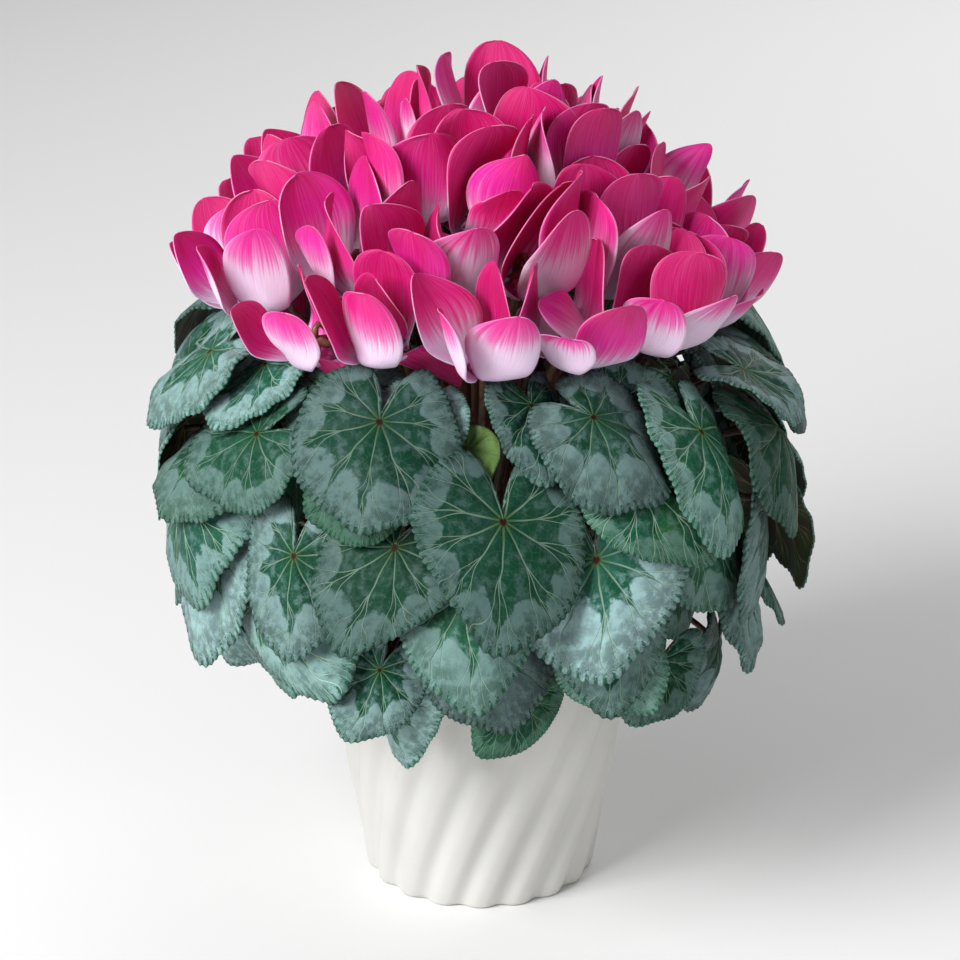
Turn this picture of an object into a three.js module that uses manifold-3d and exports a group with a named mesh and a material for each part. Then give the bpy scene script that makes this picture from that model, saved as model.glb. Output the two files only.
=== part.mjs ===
// Potted cyclamen in full bloom, in a spiral-fluted plastic pot.
//
// Millimetres, +Z up. The origin is the centre of the pot's underside, and the front of the plant
// looks along -Y. An azimuth is counted from the front and grows towards +X.

import * as THREE from 'three';
import { mergeVertices } from 'three/addons/utils/BufferGeometryUtils.js';
import Module from 'manifold-3d';

const wasm = await Module();
wasm.setup();

// Clearance that is left between two pieces that touch
const seat = 0.3;

// Pot
const pot = {
  height: 125,
  footRadius: 53,
  topRadius: 73,
  lipRadius: 75,
  lipHeight: 7,
  lipStep: 0.4,
  // From the outside of a rib to the inside of the pot
  wall: 4.2,
  floor: 2.5,
  flutes: 18,
  fluteDepth: 2.6,
  // Over 1, the grooves are narrower than the ribs
  grooveShape: 1.5,
  // Height over which the flutes run out under the lip
  fluteFade: 9,
  // Degrees that a flute turns for each millimetre of height
  twist: 0.36,
  drainHoles: 5,
  drainRadius: 4,
  drainCircle: 30,
};
const fluted = pot.height - pot.lipHeight;
const roundSegments = 30;

// Soil, heaped a little round the corm that is half sunk in its middle
const soil = { top: 112, heapRadius: 41, heapTop: 115 };
const corm = {
  bottom: 97,
  footRadius: 23,
  widestFrom: 106,
  widestTo: 115,
  radius: 33,
  crown: 124,
  crownRadius: 30,
};
const standOn = corm.crown + seat;

// Leaves: a crown shoot for each sector, with its leaves in tiers. Every other sector starts half
// a tier lower and has one leaf more at the top.
const sectors = 16;
const tiers = 4;
const lowestTier = 152;
const tierStep = 31;
const leafLength = 50;
const shoot = { circle: 25.4, radius: 4.2, height: 9 };
// First number of the fixed draws for the leaves, and the most that each draw changes
const leafSeed = 10294;
const leafSway = { azimuth: 3, height: 1.5, swing: 18, length: 0.1, slope: 1, roll: 4 };
// Least difference in height between two blades that overlap, and the heights they keep within
const layer = {
  same: 18,
  beside: 12.8,
  lowest: 134,
  highest: 258,
  breadth: 0.66,
  radius: 130,
  sweeps: 60,
  share: 0.3,
};

// Blade: half its thickness, how it bends back to its tip and folds down to its sides for each
// square millimetre, and the waves of its edge
const blade = { half: 0.8, bend: 0.0022, fold: 0.001, wave: 1.05, waves: 5, tooth: 0.93 };
const bladeSway = { bend: 0.0004, fold: 0.0006, wave: 0.4 };

// Heart outline, as shares of the leaf's length, with the widths of its tip and notch in degrees
const heart = {
  round: 0.7,
  longer: 0.13,
  slimmer: 0.06,
  tip: 0.11,
  tipWidth: 14,
  notch: 0.52,
  notchWidth: 15,
};

// Leaf stalk: its root in the shoot, the top of its arch and how far it runs on under the blade
const petiole = {
  radius: 1.5,
  outermost: 28,
  inward: 1.2,
  aside: 1.7,
  archHeight: 166,
  archStep: 11,
  archAbove: 4,
  archReach: 0.62,
  archTurn: 0.6,
  under: 2.5,
  beside: 1,
};

// Height, distance from the axis and slope of the blade for each tier: the foliage is a dome of
// shingles, and each blade hangs out over the ones that start below it
const foliage = [
  { height: 138, radius: 118, slope: 9 },
  { height: 152, radius: 124, slope: 12 },
  { height: 180, radius: 133, slope: 17 },
  { height: 207, radius: 135, slope: 26 },
  { height: 230, radius: 131, slope: 35 },
  { height: 246, radius: 126, slope: 46 },
  { height: 263, radius: 119, slope: 57 },
];

// Leaves at the front that hang as the photographed plant's do, by sector and tier
const posed = {
  '0-0': { azimuth: 9, height: 139, swing: -12, length: 44 },
  '0-1': { azimuth: 1, height: 166, swing: -2, length: 52 },
  '0-2': { azimuth: -3, height: 188, swing: 6, length: 48 },
  '0-3': { azimuth: 4, height: 231, swing: -4, length: 52 },
  '1-0': { azimuth: 24, height: 151, swing: 8, length: 45 },
  '1-2': { azimuth: 21, height: 209, swing: -8, length: 54 },
  '1-3': { azimuth: 30, height: 239, swing: 38, length: 50 },
  '2-0': { azimuth: 39, height: 139, swing: 4, length: 46 },
  '2-1': { azimuth: 45, height: 178, swing: -6, length: 46 },
  '13-0': { azimuth: -62, height: 160, swing: -6, length: 45 },
  '13-1': { azimuth: -60, height: 190, swing: 8, length: 52 },
  '14-0': { azimuth: -48, height: 169, swing: 6, length: 44 },
  '14-2': { azimuth: -35, height: 207, swing: -5, length: 48 },
  '15-1': { azimuth: -20, height: 157, swing: -7, length: 53 },
  '15-2': { azimuth: -15, height: 211, swing: -9, length: 46 },
  '15-3': { azimuth: -21, height: 240, swing: -10, length: 40 },
};

// Blooms, in rings from the outermost to the middle
const rings = [
  { count: 16, radius: 98, height: 281, lean: 13 },
  { count: 11, radius: 67, height: 305, lean: 9 },
  { count: 7, radius: 39, height: 326, lean: 5 },
  { count: 2, radius: 12, height: 339, lean: 2 },
];
const bloomSway = { spacing: 0.14, radius: 5, height: 7, lean: 4, turn: 14, size: 0.06 };
// Farthest that a petal stands from the bloom's axis, and half the gap that neighbours keep
const bloomReach = 25;
const bloomGap = 1.3;

// Petal: its length, the measure of its breadth, half its thickness and half its width at the
// root, its foot's distance from the axis, its lean and how it cups for each square millimetre.
// The petals overlap in a pinwheel.
const petal = {
  count: 5,
  length: 50,
  breadth: 25.6,
  half: 0.65,
  root: 3.2,
  spread: 12,
  lean: 11,
  cup: 0.008,
  pinwheel: 38,
};
const petalSway = { length: 0.05, lean: 5, cup: 0.003 };

// Mouth of the bloom, which hangs down: a ring under the petals and a shallow cap above
const throat = { radius: 8.6, inset: 0.5, top: -1, lip: -3.3, outerPole: 5, innerPole: 2.4 };

// Bloom stalk: half its side, where it leaves the mouth, its bend and its foot on the corm
const stalk = {
  half: 1.3,
  outside: 2.4,
  below: 7.5,
  bendIn: 0.6,
  bendUp: 0.72,
  foot: 0.14,
  rings: [0.02, 0.3, 0.6, 1],
};

const radians = THREE.MathUtils.degToRad;
const lerp = THREE.MathUtils.lerp;
const up = new THREE.Vector3(0, 0, 1);

const paint = {
  pot: new THREE.MeshStandardMaterial({ color: 0xe9e6df, roughness: 0.42, metalness: 0 }),
  soil: new THREE.MeshStandardMaterial({ color: 0x33261c, roughness: 0.95, metalness: 0 }),
  corm: new THREE.MeshStandardMaterial({ color: 0x6a4a36, roughness: 0.85, metalness: 0 }),
  leaf: new THREE.MeshStandardMaterial({ color: 0x2f5c49, roughness: 0.55, metalness: 0 }),
  petal: new THREE.MeshStandardMaterial({ color: 0xd9206f, roughness: 0.5, metalness: 0 }),
};

// A fixed draw between 0 and 1 for each number
function draw(number) {
  const value = Math.sin(number * 12.9898) * 43758.5453;
  return value - Math.floor(value);
}

// A fixed draw between -amount and +amount
function sway(number, amount) {
  return (2 * draw(number) - 1) * amount;
}

function outward(azimuth) {
  return new THREE.Vector3(Math.sin(azimuth), -Math.cos(azimuth), 0);
}

function sideways(azimuth) {
  return new THREE.Vector3(Math.cos(azimuth), Math.sin(azimuth), 0);
}

function along(start, ...steps) {
  const point = start.clone();
  for (const [direction, distance] of steps) point.addScaledVector(direction, distance);
  return point;
}

function geometryOf(points, triangles) {
  const geometry = new THREE.BufferGeometry();
  const flat = points.flatMap((point) => [point.x, point.y, point.z]);
  geometry.setAttribute('position', new THREE.Float32BufferAttribute(flat, 3));
  geometry.setIndex(triangles.flat());
  return geometry;
}

function solidOf(geometry) {
  const bare = new THREE.BufferGeometry();
  bare.setAttribute('position', geometry.getAttribute('position'));
  bare.setIndex(geometry.index);
  const merged = mergeVertices(bare, 1e-4);
  const mesh = new wasm.Mesh({
    numProp: 3,
    vertProperties: new Float32Array(merged.getAttribute('position').array),
    triVerts: new Uint32Array(merged.index.array),
  });
  return new wasm.Manifold(mesh);
}

function geometryOfSolid(solid) {
  const mesh = solid.getMesh();
  const geometry = new THREE.BufferGeometry();
  geometry.setAttribute('position', new THREE.BufferAttribute(mesh.vertProperties, 3));
  geometry.setIndex(new THREE.BufferAttribute(mesh.triVerts, 1));
  return geometry;
}

// A turned solid round the Z axis, from a profile of [radius, height] that starts and ends on it
function turned(profile, segments) {
  const line = profile.map(([radius, height]) => new THREE.Vector2(radius, height));
  return new THREE.LatheGeometry(line, segments).rotateX(Math.PI / 2);
}

// Pot: a twisted, fluted taper with a plain round lip, hollow, with drain holes

function fluteRelief(azimuth, height) {
  const phase = pot.flutes * (azimuth - radians(pot.twist * height));
  const groove = 0.5 - 0.5 * Math.cos(phase);
  const fade = THREE.MathUtils.smoothstep(fluted - height, 0, pot.fluteFade);
  return -pot.fluteDepth * groove ** pot.grooveShape * fade;
}

function taperRadius(height) {
  return lerp(pot.footRadius, pot.topRadius, height / pot.height);
}

function potBody() {
  const around = pot.flutes * 4;
  const rows = [0, 0.23, 0.46, 0.69, 0.88, 1].map((share) => share * fluted);
  rows.push(fluted + pot.lipStep, pot.height);
  const points = rows.flatMap((height) => Array.from({ length: around }, (_, step) => {
    const twisted = radians(pot.twist * Math.min(height, fluted));
    const azimuth = (2 * Math.PI * step) / around + twisted;
    const plain = height > fluted;
    const radius = plain ? pot.lipRadius : taperRadius(height) + fluteRelief(azimuth, height);
    return along(new THREE.Vector3(0, 0, height), [outward(azimuth), radius]);
  }));
  const last = (rows.length - 1) * around;
  const foot = points.push(new THREE.Vector3()) - 1;
  const mouth = points.push(new THREE.Vector3(0, 0, pot.height)) - 1;
  const triangles = [];
  for (let step = 0; step < around; step += 1) {
    const next = (step + 1) % around;
    triangles.push([foot, next, step], [mouth, last + step, last + next]);
    for (let low = 0; low < last; low += around) {
      const high = low + around;
      triangles.push([low + step, low + next, high + next], [low + step, high + next, high + step]);
    }
  }
  return solidOf(geometryOf(points, triangles));
}

function insideRadius(height) {
  return taperRadius(height) - pot.wall;
}

function potGeometry() {
  const above = pot.height + 1;
  const hollow = turned([[0, pot.floor], [insideRadius(pot.floor), pot.floor],
    [insideRadius(above), above], [0, above]], roundSegments);
  let body = potBody().subtract(solidOf(hollow));
  for (let hole = 0; hole < pot.drainHoles; hole += 1) {
    const centre = outward((2 * Math.PI * hole) / pot.drainHoles).multiplyScalar(pot.drainCircle);
    const drill = new THREE.CylinderGeometry(pot.drainRadius, pot.drainRadius, 4 * pot.floor, 8);
    drill.rotateX(Math.PI / 2).translate(centre.x, centre.y, 0);
    body = body.subtract(solidOf(drill));
  }
  return geometryOfSolid(body);
}

// Soil fills the pot up to just under its lip, and keeps a hollow for the corm
function soilGeometry() {
  const bottom = pot.floor + seat;
  const bed = corm.bottom - seat;
  return turned([
    [0, bottom],
    [insideRadius(bottom) - seat, bottom],
    [insideRadius(soil.top) - seat, soil.top],
    [soil.heapRadius, soil.heapTop],
    [corm.radius + seat, soil.top],
    [corm.radius + seat, corm.widestFrom],
    [corm.footRadius + seat, bed],
    [0, bed],
  ], roundSegments);
}

// Corm: a flattened ball, half out of the soil, flat on top where the shoots stand
function cormGeometry() {
  return turned([
    [0, corm.bottom],
    [corm.footRadius, corm.bottom],
    [corm.radius, corm.widestFrom],
    [corm.radius, corm.widestTo],
    [corm.crownRadius, corm.crown],
    [0, corm.crown],
  ], roundSegments);
}

// Leaf

// Length of the blade at an angle from its tip, for a heart shape with a deep notch at the stalk
function heartOutline(angle) {
  const fromNotch = (Math.PI - Math.abs(angle)) / radians(heart.notchWidth);
  const fromTip = angle / radians(heart.tipWidth);
  const ahead = Math.cos(angle);
  const body = heart.round + heart.longer * ahead + heart.slimmer * ahead ** 2;
  const tip = heart.tip * Math.exp(-fromTip * fromTip);
  return body + tip - heart.notch * Math.exp(-fromNotch * fromNotch);
}

// Where the tier's stalk ends, and how the blade hangs there
function shingle(height) {
  const last = foliage.length - 2;
  let tier = 0;
  while (tier < last && height > foliage[tier + 1].height) tier += 1;
  const low = foliage[tier];
  const high = foliage[tier + 1];
  const part = (height - low.height) / (high.height - low.height);
  return { radius: lerp(low.radius, high.radius, part), slope: lerp(low.slope, high.slope, part) };
}

function sectorAzimuth(sector) {
  return (360 / sectors) * (sector > sectors / 2 ? sector - sectors : sector);
}

function firstPlace(sector, tier) {
  const seed = leafSeed + sector * 8 + tier;
  const shift = sector % 2 ? -tierStep / 2 : 0;
  return {
    sector,
    tier,
    seed,
    azimuth: sectorAzimuth(sector) + sway(seed + 0.2, leafSway.azimuth),
    height: lowestTier + tier * tierStep + shift + sway(seed + 0.1, leafSway.height),
    swing: sway(seed + 0.4, leafSway.swing),
    length: leafLength * (1 + sway(seed + 0.6, leafSway.length)),
    ...posed[`${sector}-${tier}`],
  };
}

function layerShortfall(first, second) {
  const turn = Math.abs(first.azimuth - second.azimuth);
  const apart = radians(Math.min(turn, 360 - turn)) * layer.radius;
  if (apart > layer.breadth * (first.length + second.length)) return 0;
  const least = first.sector === second.sector ? layer.same : layer.beside;
  return Math.max(0, least - Math.abs(second.height - first.height));
}

// Two blades that would lie in one layer move apart, up and down, until each has its own
function settled(places) {
  for (let sweep = 0; sweep < layer.sweeps; sweep += 1) {
    places.forEach((first, number) => {
      for (const second of places.slice(number + 1)) {
        const away = second.height < first.height ? -layer.share : layer.share;
        const push = layerShortfall(first, second) * away;
        first.height = THREE.MathUtils.clamp(first.height - push, layer.lowest, layer.highest);
        second.height = THREE.MathUtils.clamp(second.height + push, layer.lowest, layer.highest);
      }
    });
  }
  return places;
}

function finishedPlace(place) {
  const { seed, height } = place;
  const { radius, slope } = shingle(height);
  return {
    ...place,
    azimuth: radians(place.azimuth),
    radius,
    slope: radians(slope + sway(seed + 0.3, leafSway.slope)),
    swing: radians(place.swing),
    roll: radians(sway(seed + 0.5, leafSway.roll)),
    bend: blade.bend + sway(seed + 0.7, bladeSway.bend),
    fold: blade.fold + sway(seed + 0.8, bladeSway.fold),
    wave: blade.wave + sway(seed + 0.9, bladeSway.wave),
    phase: 2 * Math.PI * draw(seed + 0.95),
  };
}

const leaves = settled(Array.from({ length: sectors }, (_, sector) => (
  Array.from({ length: tiers + (sector % 2) }, (_unused, tier) => firstPlace(sector, tier))
)).flat()).map(finishedPlace);

// The blade's own directions: across it, towards its tip and out of its upper face
function leafFrame(place) {
  const out = outward(place.azimuth);
  const side = sideways(place.azimuth);
  const down = along(new THREE.Vector3(), [out, Math.sin(place.slope)], [up, -Math.cos(place.slope)]);
  const face = along(new THREE.Vector3(), [out, Math.cos(place.slope)], [up, Math.sin(place.slope)]);
  down.applyAxisAngle(face, place.swing);
  side.applyAxisAngle(face, place.swing);
  side.applyAxisAngle(down, place.roll);
  face.applyAxisAngle(down, place.roll);
  const stalkEnd = along(new THREE.Vector3(0, 0, place.height), [out, place.radius]);
  return { stalkEnd, side, down, face };
}

// A point of the blade: an angle from the tip, a share of the way out to the edge, and a face
function bladePoint(place, frame, angle, share, lift) {
  const reach = place.length * heartOutline(angle) * share;
  const across = reach * Math.sin(angle);
  const ahead = reach * Math.cos(angle);
  const ripple = place.wave * share ** 3 * Math.sin(blade.waves * angle + place.phase);
  const sag = -place.bend * ahead * ahead - place.fold * across * across;
  return along(frame.stalkEnd, [frame.side, across], [frame.down, ahead],
    [frame.face, sag + ripple + lift]);
}

// One blade, thickest along its middle. Both faces are split into triangles alike.
function bladeSolid(place) {
  const frame = leafFrame(place);
  const fans = 4;
  const teeth = 4 * fans;
  const first = radians(-160);
  const middleShare = 0.52;
  const points = [];
  const put = (angle, share, lift) => points.push(bladePoint(place, frame, angle, share, lift)) - 1;
  const edge = Array.from({ length: teeth + 1 }, (_, step) => (
    put(first * (1 - (2 * step) / teeth), step % 2 ? blade.tooth : 1, 0)));
  const notch = put(Math.PI, 1, 0);
  const triangles = [];
  for (const side of [1, -1]) {
    const base = put(0, 0, side * blade.half);
    const middle = Array.from({ length: fans + 1 }, (_, step) => (
      put(first * (1 - (2 * step) / fans), middleShare, side * blade.half)));
    const face = [[base, middle[0], notch], [middle[0], edge[0], notch],
      [base, notch, middle[fans]], [middle[fans], notch, edge[teeth]]];
    for (let fan = 0; fan < fans; fan += 1) {
      const [near, far] = [middle[fan], middle[fan + 1]];
      const rim = edge.slice(4 * fan, 4 * fan + 5);
      face.push([base, far, near], [near, rim[1], rim[0]], [near, rim[2], rim[1]],
        [near, far, rim[2]], [far, rim[3], rim[2]], [far, rim[4], rim[3]]);
    }
    triangles.push(...face.map(([a, b, c]) => (side > 0 ? [a, c, b] : [a, b, c])));
  }
  return solidOf(geometryOf(points, triangles));
}

// A stalk with few sides along a curve, open nowhere
function stalkSolid(curve, radius, sides, steps) {
  const shape = new THREE.Shape();
  for (let corner = 0; corner < sides; corner += 1) {
    const angle = (2 * Math.PI * corner) / sides;
    const x = radius * Math.cos(angle);
    const y = radius * Math.sin(angle);
    if (corner === 0) shape.moveTo(x, y);
    else shape.lineTo(x, y);
  }
  const geometry = new THREE.ExtrudeGeometry(shape, { steps, extrudePath: curve });
  const bare = new THREE.BufferGeometry();
  bare.setAttribute('position', geometry.getAttribute('position'));
  return solidOf(mergeVertices(bare, 1e-4));
}

// A leaf's stalk rises from its own place in the shoot, the lowest leaf's outermost
function petioleSolid(place) {
  const azimuth = radians(sectorAzimuth(place.sector));
  const root = along(new THREE.Vector3(0, 0, standOn + shoot.height / 2),
    [outward(azimuth), petiole.outermost - petiole.inward * place.tier],
    [sideways(azimuth), place.tier % 2 ? petiole.aside : -petiole.aside]);
  const frame = leafFrame(place);
  const end = along(frame.stalkEnd, [frame.down, petiole.under], [frame.side, petiole.beside]);
  const arch = Math.max(petiole.archHeight + petiole.archStep * place.tier,
    place.height + petiole.archAbove);
  const over = along(new THREE.Vector3(0, 0, arch),
    [outward(lerp(azimuth, place.azimuth, petiole.archTurn)), place.radius * petiole.archReach]);
  return stalkSolid(new THREE.QuadraticBezierCurve3(root, over, end), petiole.radius, 3, 3);
}

function shootSolid(azimuth) {
  const stub = new THREE.CylinderGeometry(shoot.radius * 0.8, shoot.radius, shoot.height, 6);
  const centre = outward(azimuth).multiplyScalar(shoot.circle);
  stub.rotateX(Math.PI / 2).translate(centre.x, centre.y, standOn + shoot.height / 2);
  return solidOf(stub);
}

function leafBunchGeometry(sector) {
  let bunch = shootSolid(radians(sectorAzimuth(sector)));
  for (const place of leaves.filter((leaf) => leaf.sector === sector)) {
    bunch = bunch.add(petioleSolid(place)).add(bladeSolid(place));
  }
  return geometryOfSolid(bunch);
}

// Bloom

function bloomPlace(ring, number) {
  const { count, radius, height, lean } = rings[ring];
  const seed = 1000 + ring * 40 + number;
  const step = (2 * Math.PI) / count;
  const azimuth = step * (number + (ring % 2) / 2 + sway(seed + 0.1, bloomSway.spacing));
  const distance = radius + sway(seed + 0.2, bloomSway.radius);
  const level = height + sway(seed + 0.3, bloomSway.height);
  const tilt = radians(lean + sway(seed + 0.4, bloomSway.lean));
  return {
    seed,
    azimuth,
    mouth: along(new THREE.Vector3(0, 0, level), [outward(azimuth), distance]),
    axis: along(new THREE.Vector3(), [outward(azimuth), Math.sin(tilt)], [up, Math.cos(tilt)]),
    turn: radians(sway(seed + 0.5, bloomSway.turn)),
    size: 1 + sway(seed + 0.6, bloomSway.size),
  };
}

const blooms = rings.flatMap(({ count }, ring) => (
  Array.from({ length: count }, (_, number) => bloomPlace(ring, number))));

// The bloom's own directions: up its axis, in towards the plant's axis and across
function bloomFrame(bloom) {
  const inward = outward(bloom.azimuth).negate().applyAxisAngle(bloom.axis, bloom.turn);
  inward.addScaledVector(bloom.axis, -inward.dot(bloom.axis)).normalize();
  const across = new THREE.Vector3().crossVectors(bloom.axis, inward);
  return { inward, across };
}

// How far a petal may reach from its own axis, half way to each neighbour's axis line
function roomAround(bloom, height, direction) {
  let room = bloomReach;
  const centre = along(bloom.mouth, [bloom.axis, height]);
  for (const other of blooms) {
    if (other === bloom) continue;
    const offset = centre.clone().sub(other.mouth);
    const rise = offset.dot(other.axis);
    const tilt = direction.dot(other.axis);
    const square = offset.lengthSq() - rise * rise;
    const closing = offset.dot(direction) - rise * tilt;
    const halfway = square / (Math.sqrt(closing * closing + tilt * tilt * square) - closing);
    room = Math.min(room, halfway - bloomGap);
  }
  return room;
}

// Bends a distance from the axis in smoothly, so that it never passes the room there is
function bentIn(distance, room) {
  const free = 0.6;
  const share = distance / room;
  if (share < free) return distance;
  return room * (free + (1 - free) * (1 - Math.exp(-(share - free) / (1 - free))));
}

// Narrow at its root, widest at three quarters of its length and round at its tip
function petalHalfWidthAt(share) {
  return petal.root * (1 - share) + petal.breadth * share * Math.sqrt(1 - share ** 3);
}

// Centreline of a reflexed petal, as [distance from the axis, height], out of the mouth and up
function petalLine(length, lean) {
  return new THREE.CubicBezierCurve(
    new THREE.Vector2(throat.radius, (throat.top + throat.lip) / 2),
    new THREE.Vector2(throat.radius + 0.2 * length, -0.1 * length),
    new THREE.Vector2(petal.spread + 0.45 * length * Math.sin(lean), 0.45 * length),
    new THREE.Vector2(petal.spread + length * Math.sin(lean), 0.93 * length * Math.cos(lean)),
  );
}

// A point of a petal: its share of the length, its place across from -1 to 1, and a face
function petalPoint(bloom, frame, shape, share, across, lift) {
  const centre = shape.line.getPoint(share);
  const heading = shape.line.getTangent(share);
  const turn = radians(petal.pinwheel) * THREE.MathUtils.smoothstep(share, 0, 0.4);
  const half = petalHalfWidthAt(share) * shape.width;
  const cup = across ** 2 * half ** 2 * shape.cup;
  const outwards = centre.x + across * half * Math.sin(turn) - cup;
  const sidewards = across * half * Math.cos(turn);
  const angle = shape.angle + Math.atan2(sidewards, outwards);
  const direction = along(new THREE.Vector3(), [frame.inward, Math.cos(angle)],
    [frame.across, Math.sin(angle)]);
  const distance = bentIn(Math.hypot(outwards, sidewards), roomAround(bloom, centre.y, direction));
  return along(bloom.mouth, [direction, distance - lift * heading.y],
    [bloom.axis, centre.y + lift * heading.x]);
}

// Joins a ring of four corners to the next. Both faces of a petal are split alike.
function joinRings(low, high) {
  return [
    [low[0], low[1], high[0]], [low[1], high[1], high[0]],
    [low[1], low[2], high[2]], [low[1], high[2], high[1]],
    [low[2], low[3], high[2]], [low[3], high[3], high[2]],
    [low[3], low[0], high[0]], [low[3], high[0], high[3]],
  ];
}

function bloomGeometry(bloom) {
  const frame = bloomFrame(bloom);
  const points = [];
  const triangles = [];
  const put = (point) => points.push(point) - 1;
  const around = (angle, radius, height) => put(along(bloom.mouth,
    [frame.inward, radius * Math.cos(angle)], [frame.across, radius * Math.sin(angle)],
    [bloom.axis, height]));
  const step = (2 * Math.PI) / petal.count;
  const half = petal.root / throat.radius;
  const corners = Array.from({ length: 2 * petal.count }, (_, corner) => (
    step * (Math.floor(corner / 2) + 0.5) + (corner % 2 ? half : -half)));
  const top = corners.map((angle) => around(angle, throat.radius - throat.inset, throat.top));
  const lip = corners.map((angle) => around(angle, throat.radius, throat.lip));
  const outerPole = around(0, 0, throat.outerPole);
  const innerPole = around(0, 0, throat.innerPole);
  corners.forEach((_, corner) => {
    const next = (corner + 1) % corners.length;
    triangles.push([outerPole, top[corner], top[next]], [innerPole, lip[next], lip[corner]]);
    const root = [lip[corner], lip[next], top[next], top[corner]];
    if (corner % 2 === 0) triangles.push(...petalTriangles(bloom, frame, corner / 2, root, put));
    else if (next === 0) triangles.push(...stalkTriangles(bloom, frame, root, put));
    else triangles.push([root[0], root[1], root[2]], [root[0], root[2], root[3]]);
  });
  return geometryOf(points, triangles);
}

function petalShape(bloom, number) {
  const seed = bloom.seed * 7 + number;
  const length = petal.length * bloom.size * (1 + sway(seed + 0.2, petalSway.length));
  return {
    angle: ((2 * Math.PI) / petal.count) * (number + 0.5),
    line: petalLine(length, radians(petal.lean + sway(seed + 0.1, petalSway.lean))),
    width: bloom.size,
    cup: petal.cup + sway(seed + 0.3, petalSway.cup),
  };
}

function petalTriangles(bloom, frame, number, root, put) {
  const shape = petalShape(bloom, number);
  const at = (share, across, lift) => put(petalPoint(bloom, frame, shape, share, across, lift));
  const lens = (share) => [at(share, 0, -petal.half), at(share, 1, 0), at(share, 0, petal.half),
    at(share, -1, 0)];
  const low = lens(0.36);
  const high = lens(0.7);
  const [right, tip, left] = [at(0.93, 1.1, 0), at(1, 0, 0), at(0.93, -1.1, 0)];
  const [lipLeft, lipRight, topRight, topLeft] = root;
  return [
    [lipLeft, lipRight, low[0]], [lipRight, topRight, low[0]], [topRight, low[1], low[0]],
    [topRight, low[2], low[1]], [topRight, topLeft, low[2]], [topLeft, low[3], low[2]],
    [topLeft, lipLeft, low[0]], [topLeft, low[0], low[3]],
    ...joinRings(low, high),
    [high[0], high[1], right], [high[0], right, tip], [high[0], tip, left], [high[0], left, high[3]],
    [high[1], high[2], right], [high[2], tip, right], [high[2], high[3], left], [high[2], left, tip]];
}

// The stalk leaves the mouth's rim on its inner side and runs down to the crown of the corm
function stalkTriangles(bloom, frame, root, put) {
  const start = along(bloom.mouth, [frame.inward, throat.radius + stalk.outside],
    [bloom.axis, -stalk.below]);
  const foot = new THREE.Vector3(bloom.mouth.x * stalk.foot, bloom.mouth.y * stalk.foot, standOn);
  const over = new THREE.Vector3(start.x * stalk.bendIn, start.y * stalk.bendIn,
    lerp(standOn, bloom.mouth.z, stalk.bendUp));
  const curve = new THREE.QuadraticBezierCurve3(start, over, foot);
  const triangles = [];
  let upper = root;
  stalk.rings.forEach((share, ring) => {
    const centre = curve.getPoint(share);
    const heading = share < 1 ? curve.getTangent(share) : up.clone().negate();
    const side = ring ? sideways(bloom.azimuth).negate() : frame.across.clone();
    side.addScaledVector(heading, -side.dot(heading)).normalize();
    const back = new THREE.Vector3().crossVectors(heading, side);
    const corners = [[-1, -1], [1, -1], [1, 1], [-1, 1]];
    const lower = corners.map(([across, deep]) => put(along(centre,
      [side, across * stalk.half], [back, deep * stalk.half])));
    triangles.push(...joinRings(upper, lower));
    upper = lower;
  });
  return [...triangles, [upper[0], upper[1], upper[2]], [upper[0], upper[2], upper[3]]];
}

// The whole plant

function meshOf(name, geometry, material) {
  const mesh = new THREE.Mesh(geometry, material);
  mesh.name = name;
  return mesh;
}

const plant = new THREE.Group();
plant.add(meshOf('pot', potGeometry(), paint.pot));
plant.add(meshOf('soil', soilGeometry(), paint.soil));
plant.add(meshOf('corm', cormGeometry(), paint.corm));
for (let sector = 0; sector < sectors; sector += 1) {
  const name = `leaf_bunch_${String(sector + 1).padStart(2, '0')}`;
  plant.add(meshOf(name, leafBunchGeometry(sector), paint.leaf));
}
blooms.forEach((bloom, number) => {
  const name = `bloom_${String(number + 1).padStart(2, '0')}`;
  plant.add(meshOf(name, bloomGeometry(bloom), paint.petal));
});

export default plant;
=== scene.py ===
import math
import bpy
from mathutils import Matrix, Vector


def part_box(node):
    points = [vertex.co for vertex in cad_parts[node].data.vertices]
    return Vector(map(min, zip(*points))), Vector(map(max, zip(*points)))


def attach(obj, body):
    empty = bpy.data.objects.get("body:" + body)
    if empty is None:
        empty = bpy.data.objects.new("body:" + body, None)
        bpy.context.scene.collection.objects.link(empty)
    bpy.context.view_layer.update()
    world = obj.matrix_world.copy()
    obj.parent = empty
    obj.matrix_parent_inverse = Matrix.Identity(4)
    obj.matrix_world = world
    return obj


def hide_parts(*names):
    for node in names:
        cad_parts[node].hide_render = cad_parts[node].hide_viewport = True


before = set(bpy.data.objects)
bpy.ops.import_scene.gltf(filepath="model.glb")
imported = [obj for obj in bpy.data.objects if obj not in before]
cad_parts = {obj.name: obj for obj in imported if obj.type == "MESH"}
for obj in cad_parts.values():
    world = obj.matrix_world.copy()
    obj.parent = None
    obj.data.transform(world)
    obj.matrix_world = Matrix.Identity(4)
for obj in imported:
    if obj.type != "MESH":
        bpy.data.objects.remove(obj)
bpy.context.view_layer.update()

from types import SimpleNamespace as Values

import bpy
import numpy as np
from bpy.props import FloatProperty, FloatVectorProperty, IntProperty, PointerProperty
from mathutils import Quaternion, Vector
from mathutils.bvhtree import BVHTree

# Potted cyclamen in full bloom: the finished surfaces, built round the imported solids.
#
# Metres, +Z up, with the origin at the centre of the pot's underside. The front of the plant looks
# along -Y. An azimuth is counted from the front and grows towards +X.

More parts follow.
